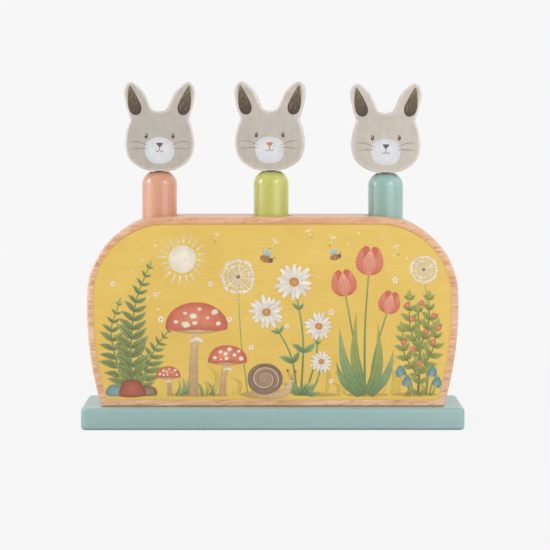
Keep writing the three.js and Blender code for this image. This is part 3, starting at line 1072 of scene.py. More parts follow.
def drive_cutter(level):
    """A cross recess centred on a screw head's face."""
    side, tip = drive_width / 2, drive_span / 2
    loop = [(tip, side), (side, side), (side, tip)]
    for _ in range(3):
        loop += [(-y, x) for x, y in loop[-3:]]
    return prism("drive_cutter", loop, level - drive_depth, level + drive_depth)


def set_screws(name, profile, drive_level, places):
    """Screws alike, turned from one profile with a cross recess in the head, one at each place."""
    screw = lathe("single_screw", profile, screw_sides, zinc_plate)
    cut(screw, [drive_cutter(drive_level)])
    smooth(screw, sharp_degrees)
    screws = make_object(name, places, [], None)
    run_tree(screws, same_at_points, {"Piece": screw, "Material": zinc_plate})
    drop(screw)
    smooth(screws, sharp_degrees)
    return screws


def make_block_screws():
    head, rim, shank = block_screw_head_radius, block_screw_head_rim, block_screw_radius
    neck = rim + head - shank
    inward, upward = block_screw_ease
    profile = [(0, 0), (head - inward, 0), (head, upward), (head, rim), (shank, neck)]
    profile += threaded(shank, neck + block_screw_plain, block_screw_length - block_screw_point)
    profile += [(0, block_screw_length)]
    screws = set_screws("block_screws", profile, 0, [(x, y, block_screw_recess) for x, y in screw_places()])
    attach(screws, "base")
    nodes = [f"block_screw_{end}_{side}" for end in ("front", "rear") for side in ("left", "right")]
    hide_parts(*nodes)


def make_spring_screws():
    head, height, rim = spring_screw_head_radius, spring_screw_head_height, spring_screw_head_rim
    crown = height - rim
    shank = spring_screw_radius
    profile = [(0, -spring_screw_length)]
    profile += threaded(shank, spring_screw_point - spring_screw_length, -spring_screw_plain)
    profile += [(shank, 0), (head - spring_screw_ease, 0), (head, spring_screw_ease)]
    profile += arc((head - crown, rim), crown, 0, math.pi / 2, screw_crown_steps) + [(0, height)]
    level = board_size[2] + 2 * seat_gap + 2 * wire_radius
    screws = set_screws("spring_screws", profile, height, [(x, 0, level) for x in bore_places])
    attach(screws, "base")
    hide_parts(*[f"spring_screw_{side}" for side in ("left", "middle", "right")])


def threaded(radius, start, end):
    """Profile of a threaded stretch: ridges and grooves at a wood screw's pitch."""
    root = radius * thread_root_share
    count = int(abs(end - start) / thread_pitch)
    step = (end - start) / count
    flat, ridge = thread_step_shares
    profile = []
    for i in range(count):
        level = start + step * i
        profile += [(root, level), (root, level + step * flat), (radius, level + step * ridge)]
    return profile + [(root, end)]


# Prints: thin closed flakes on a flat face


# Thickness of a layer of ink, how deep the flakes' backs lie in their face, and the flakes drawn so far
film = 0.008
embed = 0.02
drawn = 0
# Parts of a layer by which the flakes of a set follow each other
set_step = 0.231
scatter_step = 0.1
# Each flake's own part of a layer is this share of the way round from the last one's
golden_share = 0.618034
# Half of the least width of a blade
least_half = 0.02


def next_lift(lift):
    """The lift with a small part of a layer of its own added, so that no two flakes lie in one plane."""
    global drawn
    drawn += 1
    return lift + 0.5 * (drawn * golden_share % 1)


def layer_depth(face, lift):
    """Depth of a layer of ink in front of a face, or of the flakes' backs where the lift is None."""
    return face + embed if lift is None else face - lift * film


def between(first, second, share):
    """A colour part of the way from the first to the second."""
    return tuple(a + (b - a) * share for a, b in zip(first, second))


class Print:
    """Printed shapes on one flat face, gathered into one mesh. Each shape is a thin closed flake. Its lift
    counts layers of ink, so that a shape with a higher lift lies in front of one with a lower lift."""

    def __init__(self, place):
        self.place = place
        self.points = []
        self.faces = []
        self.inks = []
        self.pools = []

    def flake(self, spots, faces, boundary, inks, pools, lift):
        """One flake: its front with an ink and a pooled share for each spot, its thin sides and its back."""
        start = len(self.points)
        lift = next_lift(lift)
        self.points += [self.place(u, v, lift) for u, v in spots]
        self.inks += inks
        self.pools += pools
        self.faces += [[start + i for i in face] for face in faces]
        back = len(self.points)
        self.points += [self.place(*spots[i], None) for i in boundary]
        self.inks += [inks[i] for i in boundary]
        self.pools += [pools[i] for i in boundary]
        count = len(boundary)
        for i in range(count):
            j = (i + 1) % count
            self.faces.append([start + boundary[i], start + boundary[j], back + j, back + i])
        self.faces.append([back + i for i in range(count)])

    def blade(self, path, width, first, last, lift, shape="leaf", steps=14):
        """A leaf, petal, stem or stroke along a path, coloured from its foot to its tip."""
        spine = catmull_rom(path, False, max(1, steps // (len(path) - 1)))
        rows = len(spine)
        columns = 5
        offsets = [-1 + 2 * c / (columns - 1) for c in range(columns)]
        spots, inks, pools = [], [], []
        for row, spot in enumerate(spine):
            t = row / (rows - 1)
            along = (spine[min(row + 1, rows - 1)] - spine[max(row - 1, 0)]).normalized()
            across = Vector((-along.y, along.x)) * max(least_half, width / 2 * blade_shapes[shape](t))
            for offset in offsets:
                p = spot + across * offset
                spots.append((p.x, p.y))
                inks.append(between(first, last, t))
                pools.append(abs(offset))
        faces = []
        for row in range(rows - 1):
            for c in range(columns - 1):
                low = row * columns + c
                faces.append([low, low + 1, low + columns + 1, low + columns])
        boundary = list(range(columns)) + [r * columns + columns - 1 for r in range(1, rows)]
        boundary += [(rows - 1) * columns + c for c in range(columns - 2, -1, -1)]
        boundary += [r * columns for r in range(rows - 2, 0, -1)]
        self.flake(spots, faces, boundary, inks, pools, lift)

    def patch(self, outline, centre, core, rim, lift, rings=(0.35, 0.65, 0.85, 1.0)):
        """A rounded shape that its centre can see all of, coloured from its core to its rim."""
        count = len(outline)
        spots, inks, pools = [centre], [core], [0.0]
        for share in rings:
            for u, v in outline:
                spots.append((centre[0] + (u - centre[0]) * share, centre[1] + (v - centre[1]) * share))
                inks.append(between(core, rim, share ** 1.5))
                pools.append(share)
        faces = [[0, 1 + i, 1 + (i + 1) % count] for i in range(count)]
        faces += ring_faces(len(rings), count, 1)
        last = 1 + (len(rings) - 1) * count
        self.flake(spots, faces, [last + i for i in range(count)], inks, pools, lift)

    def field(self, rings, inks, pools, lift):
        """A wide flake from its rim inwards, ring by ring, the last ring filled by one face."""
        count = len(rings[0])
        spots = [spot for ring in rings for spot in ring]
        faces = ring_faces(len(rings), count)
        faces.append(list(range(len(spots) - count, len(spots))))
        self.flake(spots, faces, list(range(count)), inks, pools, lift)

    def oval(self, centre, radii, core, rim, lift, turn=0.0, wobble=0.0, seed=1, steps=28):
        outline = oval_outline(centre, radii, turn, wobble, seed, steps)
        self.patch(outline, centre, core, rim, lift)

    def absorb(self, made):
        """Takes in the flakes that a Geometry Nodes tree made, with each one's tint worked into its ink."""
        mesh = made.data
        start = len(self.points)
        inks = read_floats(mesh, "ink", "color", 4)
        tints = read_floats(mesh, "tint", "value", 1)
        self.points += [tuple(c / MM for c in vertex.co) for vertex in mesh.vertices]
        for i, tint in enumerate(tints):
            ink = inks[4 * i:4 * i + 3]
            self.inks.append((*[min(1.0, channel * tint) for channel in ink], 1.0))
        self.pools += read_floats(mesh, "pool", "value", 1)
        self.faces += [[start + i for i in face.vertices] for face in mesh.polygons]
        drop(made)

    def finish(self, name, material):
        values = {"pool": self.pools}
        return make_object(name, self.points, self.faces, material, values, {"ink": self.inks})


def read_floats(mesh, name, field, width):
    data = mesh.attributes[name].data
    numbers = [0.0] * (len(data) * width)
    data.foreach_get(field, numbers)
    return numbers


# How much of its full width a blade has, where t runs from 0 at its foot to 1 at its tip
blade_shapes = {
    "leaf": lambda t: math.sin(math.pi * (0.04 + 0.96 * t) ** 0.8) ** 0.9,
    "ear": lambda t: math.sin(math.pi * (0.002 + 0.978 * t) ** 0.62) ** 0.8,
    "petal": lambda t: math.sin(math.pi * (0.10 + 0.84 * t) ** 1.25) ** 0.65,
    "sword": lambda t: (0.45 + 0.55 * math.sin(math.pi * min(1.0, t * 0.9 + 0.15))) * (1 - t ** 3.0),
    "stem": lambda t: 1.0 - 0.4 * t,
    "stroke": lambda t: max(0.15, math.sin(math.pi * (0.06 + 0.88 * t)) ** 0.5),
    "ray": lambda t: 1.0 - 0.75 * t,
}


def oval_outline(centre, radii, turn=0.0, wobble=0.0, seed=1, steps=28, power=2.0):
    """An oval, turned by degrees, whose edge may wobble. A higher power makes it squarer."""
    angle = math.radians(turn)
    outline = []
    for i in range(steps):
        a = 2 * math.pi * i / steps
        c, s = math.cos(a), math.sin(a)
        reach = (abs(c) ** power + abs(s) ** power) ** (-1 / power)
        reach *= 1 + wobble * noise.noise(Vector((1.6 * c + seed, 1.6 * s, seed * 0.7)))
        u, v = radii[0] * reach * c, radii[1] * reach * s
        outline.append((
            centre[0] + u * math.cos(angle) - v * math.sin(angle),
            centre[1] + u * math.sin(angle) + v * math.cos(angle),
        ))
    return outline


def on_panel(u, v, lift):
    return (u, layer_depth(-block_depth / 2, lift), v)


def at_origin(u, v, lift):
    return (u, layer_depth(0, lift), v)


def loose_flake(name, draw):
    """A flake about the origin, to be repeated by a Geometry Nodes tree."""
    single = Print(at_origin)
    draw(single)
    return single.finish(name, meadow_ink)


def marked_points(places, lift):
    """Points on the panel, each (u, v, size, spin in degrees)."""
    lift = next_lift(lift)
    points = [on_panel(u, v, lift) for u, v, size, spin in places]
    values = {
        "size": [float(size) for u, v, size, spin in places],
        "spin": [math.radians(spin) for u, v, size, spin in places],
    }
    return make_object("marked_points", points, [], None, values)


def scatter_patch(outline, lift):
    lift = next_lift(lift)
    points = [on_panel(u, v, lift) for u, v in outline]
    return make_object("scatter_patch", points, [list(range(len(points)))], None)


# Inks of the meadow
cream = paint(240, 230, 208)
cream_deep = paint(230, 216, 184)
white_petal = paint(240, 233, 222)
petal_shade = paint(214, 201, 186)
orange_eye = paint(220, 160, 78)
orange_deep = paint(192, 126, 62)
coral = paint(222, 136, 108)
coral_deep = paint(203, 104, 80)
coral_pale = paint(230, 164, 142)
coral_line = paint(176, 88, 68)
fern_dark = paint(108, 124, 74)
fern_light = paint(158, 165, 98)
sage = paint(138, 160, 106)
sage_dark = paint(100, 130, 84)
sage_pale = paint(166, 180, 122)
olive = paint(150, 154, 76)
olive_dark = paint(122, 132, 66)
olive_pale = paint(174, 178, 90)
leaf_line = paint(88, 98, 56)
slate = paint(104, 140, 142)
slate_pale = paint(140, 168, 164)
slate_line = paint(82, 112, 116)
umber = paint(124, 98, 80)
umber_pale = paint(166, 134, 102)
terracotta = paint(152, 82, 64)
terracotta_pale = paint(178, 104, 82)
sand = paint(218, 188, 142)
sand_deep = paint(190, 152, 108)
dark_line = paint(88, 68, 56)
ochre = paint(211, 170, 84)
ochre_deep = paint(199, 158, 76)


def leaf_flake(name, first, last, width, shape="leaf", line=None, bend=0.06):
    """A leaf one millimetre long that points up from the origin, with a dark midrib where a line is given."""
    path = [(0, 0), (bend, 0.5), (0, 1)]

    def draw(single):
        single.blade(path, width, first, last, 1, shape, 10)
        if line:
            single.blade([(0, 0.02), (bend, 0.45), (bend * 0.7, 0.78)], 0.035, line, line, 2, "stem", 6)

    return loose_flake(name, draw)


def straight_flake(name, foot, width, first, last, shape, steps=14):
    """A straight blade that points up, from a foot above the origin to one millimetre."""
    path = [(0, foot), (0, 1)]
    return loose_flake(name, lambda single: single.blade(path, width, first, last, 1, shape, steps))


def dot_flake(name, ink, steps):
    return loose_flake(name, lambda single: single.oval((0, 0), (0.5, 0.5), ink, ink, 1, steps=steps))


def run_leaves(art, path, leaf, pairs, length, lean, lift, seed, foot=0.7, tip=0.3):
    """Prints pairs of leaves along a path."""
    lift = next_lift(lift)
    stem = polyline("stem_path", [on_panel(p.x, p.y, lift) for p in catmull_rom(path, False, 8)])
    values = {
        "Leaf": leaf, "Leaf pairs": pairs, "Leaf length": float(length), "Lean": math.radians(lean),
        "Foot share": foot, "Tip share": tip, "Layer step": film * set_step, "Seed": seed,
        "Material": meadow_ink,
    }
    art.absorb(run_tree(stem, leaves_along_stem, values))


def run_rings(art, places, petal, petals, lift, seed, sway=0.06, uneven=0.08):
    """Prints a ring of petals round each place, given as (u, v, size, spin in degrees)."""
    values = {
        "Petal": petal, "Petals": petals, "Sway": sway, "Uneven": uneven, "Layer step": film * set_step,
        "Seed": seed, "Material": meadow_ink,
    }
    art.absorb(run_tree(marked_points(places, lift), ring_of_petals, values))


def run_scatter(art, outline, flake, spacing, sizes, lift, seed, spin_range=180.0, step=scatter_step):
    """Prints flakes scattered over a patch, each spun by up to the spin range in degrees."""
    values = {
        "Flake": flake, "Spacing": float(spacing), "Least size": float(sizes[0]),
        "Largest size": float(sizes[1]), "Heading": 0.0, "Spin range": math.radians(spin_range),
        "Layer step": film * step, "Seed": seed, "Material": meadow_ink,
    }
    art.absorb(run_tree(scatter_patch(outline, lift), scatter_on_patch, values))


def art_object(art, name):
    made = art.finish(name, meadow_ink)
    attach(made, "base")


# The printed panel: each ring's inset from the block's outline and how dark the painted shade along its edge
# is, the shift of the print to the right and up, how much less its foot is lifted than its sides, and its
# rounding there
panel_rings = ((3.75, 1.0), (4.2, 0.6), (4.9, 0.0))
panel_shift = (-0.25, 0.2)
panel_foot_less = 0.3
panel_foot_radius = 1.2
# Height of the plants' feet
soil = 19


def make_panel_ground():
    """The yellow printed ground inside its band of bare beech."""
    shift_x, shift_z = panel_shift
    rings, pools = [], []
    for inset, pool in panel_rings:
        outline = block_outline(inset, inset - panel_foot_less, panel_foot_radius)
        rings.append([(x + shift_x, board_size[2] + z + shift_z) for x, z in outline])
        pools += [pool] * len(outline)
    ground = Print(on_panel)
    ground.field(rings, [ochre] * len(pools), pools, 1)
    made = ground.finish("yellow_panel", yellow_print)
    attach(made, "base")


def make_ground_tufts():
    """Faint shadows on the ground, dry grass along its foot and pale blades of grass behind the plants."""
    art = Print(on_panel)
    shadows = (
        (-80, 19.4, 13, 1.3), (-42, 19.2, 17, 1.2), (-6, 19.2, 13, 1.2),
        (27, 19.2, 12, 1.0), (53, 19.2, 12, 1.2), (80, 19.4, 13, 1.3),
    )
    for u, v, ru, rv in shadows:
        art.oval((u, v), (ru, rv), ochre_deep, ochre, 2, wobble=0.12, seed=u)
    pale_grass = paint(206, 184, 84)
    for u in (-38, -33, -20, 30, 36, 40, 67, 70):
        height = 14 + 7 * math.sin(u * 1.7)
        path = [(u, 19.5), (u + 1.5, 19.5 + height * 0.6), (u + 4 * math.sin(u), 19.5 + height)]
        art.blade(path, 2.6, pale_grass, ochre, 2, "sword", 12)
    blade = leaf_flake("grass_blade", ochre_deep, paint(222, 186, 100), 0.12, "sword", None, 0.1)
    strip = [(-86, 18.6), (86, 18.6), (87, 20), (-87, 20)]
    run_scatter(art, strip, blade, 4.4, (3, 6), 3, 11, 26, 0.02)
    drop(blade)
    art_object(art, "panel_dry_grass")


def end_leaf(art, path, length, width, first, last, lift):
    """A leaf that carries on from the end of a path."""
    end, before = Vector(path[-1]), Vector(path[-2])
    tip = end + (end - before).normalized() * length
    art.blade([tuple(end), tuple(tip)], width, first, last, lift, "leaf")


def soil_strip(left, right):
    """A narrow strip along the soil, for grass to grow from."""
    low, high = soil - 0.6, soil + 0.6
    return [(left, low), (right, low), (right, high), (left, high)]


def pebble(art, centre, radii, core, rim, line, lift, seed):
    """A flat-footed pebble with a few thin strokes."""
    (u, v), (ru, rv) = centre, radii
    outline = []
    for x, y in oval_outline((0, 0), radii, 0, 0.10, seed, 36, 2.3):
        outline.append((u + x, v + (y if y > 0 else y * 0.22)))
    art.patch(outline, (u, v + rv * 0.2), core, rim, lift)
    draws = random.Random(seed)
    for i in range(5):
        start = (u + ru * draws.uniform(-0.6, 0.3), v + rv * draws.uniform(0.05, 0.6))
        end = (start[0] + ru * draws.uniform(0.15, 0.3), start[1] + rv * draws.uniform(-0.1, 0.1))
        art.blade([start, end], 0.28, line, core, lift + 1, "stroke", 5)


def make_ferns():
    """Three fern fronds behind pebbles."""
    art = Print(on_panel)
    leaflet = leaf_flake("fern_leaflet", fern_dark, fern_light, 0.36, "leaf", leaf_line)
    fronds = [
        ([(-82, 20), (-88, 38), (-91, 56), (-87, 70)], 11, 12.0, 5, 21),
        ([(-79, 20), (-80, 46), (-77, 72), (-70, 91)], 15, 13.0, 8, 22),
        ([(-76, 20), (-71, 34), (-66, 46), (-59, 55)], 10, 10.0, 6, 23),
    ]
    for path, pairs, length, lift, seed in fronds:
        art.blade(path, 1.2, fern_dark, sage, lift + 4, "stem", 24)
        run_leaves(art, path, leaflet, pairs, length, 54, lift, seed, 0.75, 0.22)
        end_leaf(art, path, 5, 1.7, fern_light, sage_pale, lift + 4)
    drop(leaflet)
    pebble(art, (-89, 19.6), (5.0, 5.6), slate_pale, slate, slate_line, 16, 3)
    pebble(art, (-70.5, 19.6), (5.4, 4.6), umber_pale, umber, dark_line, 17, 8)
    pebble(art, (-79.5, 19.6), (7.6, 8.2), terracotta_pale, terracotta, coral_line, 20, 5)
    art_object(art, "panel_ferns")


# A toadstool's spots, as shares of half its cap's width and of its cap's height
cap_spot_shares = [
    (-0.66, 0.24), (-0.36, 0.58), (-0.05, 0.20), (0.10, 0.74), (0.36, 0.40), (0.70, 0.18), (-0.34, 0.14),
    (0.58, 0.62), (-0.10, 0.47),
]


def toadstool(art, foot, neck, stem_width, cap, lift, seed):
    """A toadstool: a stem, a skirt, gills and a spotted cap, given by half its width and its height."""
    (fu, fv), (nu, nv) = foot, neck
    half, height = cap
    bend = (fu - nu) * 0.25
    middle = ((fu + nu) / 2 + bend, (fv + nv) / 2)
    stem = [(fu, fv - 0.5), middle, (nu, nv + height * 0.25)]
    art.blade(stem, stem_width, sand_deep, sand, lift, "stem", 16)
    for k in (-0.3, -0.1, 0.16, 0.3):
        start = (fu + k * stem_width, fv + 1)
        end = (middle[0] + k * stem_width * 0.9, middle[1] + (nv - fv) * (0.12 + abs(k) * 0.5))
        art.blade([start, end], 0.26, sand_deep, sand_deep, lift + 1, "stroke", 6)
    top = nv - height * 0.42
    low = top - height * 0.1
    reach = stem_width * 0.62
    skirt = [(nu - reach, low), (nu, top), (nu + reach, low)]
    art.blade(skirt, height * 0.15, cream_deep, cream, lift + 2, "stroke", 10)
    art.oval((nu, nv), (half * 0.86, height * 0.22), sand, sand_deep, lift + 2)
    gills = 9
    for i in range(gills):
        k = (i - (gills - 1) / 2) / 4.6
        gill = [(nu + half * 0.12 * k, nv - 0.1), (nu + half * 0.78 * k, nv - height * 0.1)]
        art.blade(gill, 0.26, umber_pale, sand_deep, lift + 3, "stroke", 4)
    outline = []
    steps = 40
    for i in range(steps):
        a = 2 * math.pi * i / steps
        c, s = math.cos(a), math.sin(a)
        v = height * s if s > 0 else -height * 0.16 * abs(s) ** 0.8 * (0.4 + 0.6 * abs(c))
        lumpy = 1 + 0.03 * noise.noise(Vector((c * 1.7 + seed, s * 1.7, 0)))
        outline.append((nu + half * lumpy * math.copysign(abs(c) ** 0.88, c), nv + v * lumpy))
    art.patch(outline, (nu - half * 0.1, nv + height * 0.4), coral, coral_deep, lift + 4)
    draws = random.Random(seed)
    for u, v in cap_spot_shares:
        centre = (nu + half * u, nv + height * v)
        r = half * draws.uniform(0.045, 0.115)
        outline = oval_outline(centre, (r * 1.15, r * 0.95), 0, 0.3, seed + u, 16)
        art.patch(outline, centre, cream, cream_deep, lift + 6)


def make_toadstools():
    """Three toadstools with grass at their feet."""
    art = Print(on_panel)
    toadstool(art, (-45, soil), (-43, 57), 6.0, (17.5, 14.5), 8, 4)
    toadstool(art, (-28.5, soil), (-25.5, 38), 4.2, (11.0, 9.4), 16, 5)
    toadstool(art, (-58, soil), (-59, 29.5), 3.0, (7.0, 6.0), 16, 6)
    grass = leaf_flake("toadstool_grass", sage_dark, sage_pale, 0.16, "sword", None, 0.14)
    for u in (-52, -37):
        run_scatter(art, soil_strip(u - 4, u + 4), grass, 1.6, (5, 11), 24, int(u + 90), 30)
    drop(grass)
    art_object(art, "panel_toadstools")


def make_snail():
    """A snail under the daisies, with a banded grey brown shell."""
    art = Print(on_panel)
    body = [(-16.5, 19.6), (-8, 19.2), (3, 19.4), (8, 21.5), (10.2, 27.5)]
    art.blade(body, 4.6, sand_deep, sand, 30, "stroke", 28)
    for tip in ((8.4, 33.0), (12.8, 32.4)):
        art.blade([(10.1, 28), ((10.1 + tip[0]) / 2, 31.0), tip], 0.6, sand_deep, sand_deep, 29, "stroke", 8)
        art.oval(tip, (0.65, 0.65), umber, dark_line, 31, steps=12)
    art.oval((11.2, 28.2), (0.40, 0.48), dark_line, dark_line, 33, steps=10)
    art.blade([(11.0, 25.8), (11.8, 25.9), (12.2, 26.5)], 0.28, dark_line, dark_line, 33, "stroke", 6)
    centre = (-4.5, 28.2)
    radii = (9.8, 9.0)
    art.oval(centre, radii, paint(172, 146, 122), paint(138, 112, 94), 34, wobble=0.05, seed=9, steps=44)
    turns = 2.2
    path = []
    steps = 40
    for i in range(steps):
        t = i / (steps - 1)
        angle = -0.6 + 2 * math.pi * turns * t
        reach = (1 - t) ** 0.85 + 0.05
        path.append((
            centre[0] + (radii[0] - 1) * reach * math.cos(angle),
            centre[1] + (radii[1] - 1) * reach * math.sin(angle),
        ))
    art.blade(path, 0.9, umber, paint(112, 88, 74), 36, "stroke", 78)
    inner = [(centre[0] + (u - centre[0]) * 0.86, centre[1] + (v - centre[1]) * 0.86) for u, v in path]
    art.blade(inner, 1.1, paint(204, 180, 152), umber_pale, 37, "stroke", 78)
    fleck = leaf_flake("shell_fleck", paint(128, 104, 88), umber, 0.2, "stroke")
    run_scatter(art, oval_outline(centre, (8.4, 7.6)), fleck, 1.3, (0.8, 1.5), 35, 5, step=0.004)
    drop(fleck)
    art_object(art, "panel_snail")


def make_daisies():
    """Four daisies, each with two rings of petals. A head is given by its place, size and spin."""
    art = Print(on_panel)
    heads = [(-3.5, 66, 9.2, 8), (12, 83, 10.4, 20), (26, 58, 7.8, 0), (27.5, 38, 6.0, 14)]
    stems = [
        [(14, soil), (10, 42), (-3.5, 66)],
        [(16, soil), (17, 52), (12, 83)],
        [(18, soil), (24, 38), (26, 58)],
        [(20, soil), (25, 27), (27.5, 38)],
    ]
    leaf = leaf_flake("daisy_leaf", sage_dark, sage_pale, 0.38, "leaf", leaf_line)
    for number, path in enumerate(stems):
        art.blade(path, 1.15, sage_dark, sage, 12 + number, "stem", 20)
        middle = ((path[1][0] + path[2][0]) / 2, (path[1][1] + path[2][1]) / 2)
        pairs, length = (3, 10) if number < 2 else (2, 7)
        run_leaves(art, path[:2] + [middle], leaf, pairs, length, 48, 14, 40 + number, 1.0, 0.5)
    drop(leaf)
    petal = leaf_flake("daisy_petal", petal_shade, white_petal, 0.28, "petal", None, 0.0)
    run_rings(art, heads, petal, 15, 20, 7, 0.10, 0.10)
    small = [(u, v, size * 0.72, spin + 12) for u, v, size, spin in heads]
    run_rings(art, small, petal, 12, 25, 8, 0.10, 0.12)
    drop(petal)
    dot = dot_flake("eye_dot", orange_deep, 8)
    for u, v, size, spin in heads:
        art.oval((u, v), (size * 0.26, size * 0.24), orange_eye, orange_deep, 31, wobble=0.08, seed=size)
        eye = oval_outline((u, v), (size * 0.21, size * 0.19))
        run_scatter(art, eye, dot, 0.8, (0.3, 0.5), 32, 3, 10, 0.002)
    drop(dot)
    art_object(art, "panel_daisies")


def tulip(art, base, size, lean, lift):
    """A tulip flower on its base point: back petals, side petals and a front petal with thin lines."""
    w, h = size

    def at(u, v):
        a = math.radians(lean)
        return (base[0] + u * math.cos(a) + v * math.sin(a), base[1] - u * math.sin(a) + v * math.cos(a))

    for side in (-1, 1):
        back = [at(side * w * 0.12, 0), at(side * w * 0.24, h * 0.55), at(side * w * 0.2, h)]
        art.blade(back, w * 0.5, coral_deep, coral_deep, lift, "petal", 12)
    for number, side in enumerate((-1, 1)):
        path = [at(side * w * 0.05, -h * 0.03), at(side * w * 0.42, h * 0.34), at(side * w * 0.42, h * 0.96)]
        art.blade(path, w * 0.52, coral_deep, coral, lift + 1 + number, "leaf", 14)
    front = [at(0, -h * 0.05), at(0, h * 0.45), at(0, h * 0.9)]
    art.blade(front, w * 0.66, coral, coral_pale, lift + 3, "leaf", 14)
    for k in (-0.12, 0.0, 0.12):
        path = [at(w * k, h * 0.06), at(w * k * 1.4, h * 0.34), at(w * k * 1.1, h * (0.6 - abs(k)))]
        art.blade(path, 0.22, coral_line, coral_deep, lift + 4, "stroke", 6)


def make_tulips():
    """Three tulips with five long leaves. A leaf is given by its path, width, lift and the ink of its tip."""
    art = Print(on_panel)
    flowers = [
        ((10.5, 14), -8, [(50, soil), (46, 48), (41, 76)]),
        ((11.5, 15), 5, [(52, soil), (52, 56), (54, 88)]),
        ((9, 12), 14, [(54, soil), (57.5, 42), (64.5, 66)]),
    ]
    for size, lean, path in flowers:
        art.blade(path, 1.3, sage_dark, sage, 10, "stem", 20)
        tulip(art, path[-1], size, lean, 24)
    leaves = [
        ([(50, soil), (41, 36), (37.5, 58)], 6.2, 16, sage_pale),
        ([(52, soil), (46.5, 40), (47, 66)], 6.0, 14, olive_pale),
        ([(54, soil), (59.5, 36), (59.5, 60)], 6.2, 15, olive_pale),
        ([(55, soil), (64, 30), (68.5, 45)], 5.4, 17, sage_pale),
        ([(49, soil), (40, 27), (35.5, 38)], 4.8, 18, sage),
    ]
    for path, width, lift, tip in leaves:
        art.blade(path, width, sage_dark, tip, lift, "sword", 22)
        art.blade(path, 0.3, leaf_line, sage, lift + 1, "stem", 22)
        for side in (-0.5, 0.5):
            beside = [(u + side * width * 0.34, v + 0.6) for u, v in path]
            beside[-1] = (path[-1][0] + side * width * 0.1, path[-1][1] - 6)
            art.blade(beside, 0.2, sage, sage, lift + 1, "stem", 14)
    art_object(art, "panel_tulips")


def make_bush():
    """A rounded bush with berries, and bellflowers at its foot."""
    art = Print(on_panel)
    leaf = leaf_flake("bush_leaf", olive_dark, olive_pale, 0.46, "leaf", leaf_line)
    twigs = [
        [(82, soil), (83, 40), (82, 66)], [(82, 30), (74.5, 42), (73, 55)], [(83, 32), (90, 44), (92.5, 57)],
        [(82, 44), (77.5, 58), (77, 73)], [(83, 46), (88, 60), (88, 73)],
    ]
    for number, path in enumerate(twigs):
        art.blade(path, 1.4 if number == 0 else 0.8, umber, olive_dark, 8, "stem", 18)
        pairs = 8 if number == 0 else 6
        run_leaves(art, path, leaf, pairs, 7.4, 50, 9 + 3 * number, 60 + number, 0.7, 0.6)
        end_leaf(art, path, 6, 2.8, olive, olive_pale, 26)
    drop(leaf)
    berries = [
        (74, 49), (78.5, 62), (84, 71), (91, 64), (86.5, 55),
        (79, 45), (90.5, 49), (76, 70), (83, 37), (93.5, 57),
    ]
    for u, v in berries:
        art.oval((u, v), (1.6, 1.6), coral, coral_deep, 28, wobble=0.1, seed=u, steps=18)
        art.oval((u - 0.45, v + 0.5), (0.4, 0.34), coral_pale, coral_pale, 29, steps=10)
    bells = [(71.5, 33.5, -20), (76, 28, 8), (90.5, 33.5, 16), (93.5, 27.5, 30)]
    for u, v, lean in bells:
        foot = (u * 0.5 + 41.5, soil)
        art.blade([foot, ((foot[0] + u) / 2, v), (u, v + 2.6)], 0.7, sage_dark, sage, 30, "stem", 12)
        a = math.radians(lean)
        across, up = Vector((math.cos(a), -math.sin(a))), Vector((math.sin(a), math.cos(a)))
        for k in (-1, 1, 0):
            tip = Vector((u, v)) + across * (1.8 * k) - up * 4.0
            middle = Vector((u, v)) + across * (1.35 * k) - up * 1.1
            ink = slate_pale if k == 0 else slate
            art.blade([(u, v + 1.8), tuple(middle), tuple(tip)], 2.4, slate, ink, 32 + (k == 0), "petal", 12)
    grass = leaf_flake("bush_grass", olive_dark, olive_pale, 0.15, "sword", None, 0.14)
    run_scatter(art, soil_strip(74, 90), grass, 2.0, (4, 9), 34, 9, 30, 0.05)
    drop(grass)
    art_object(art, "panel_bush")


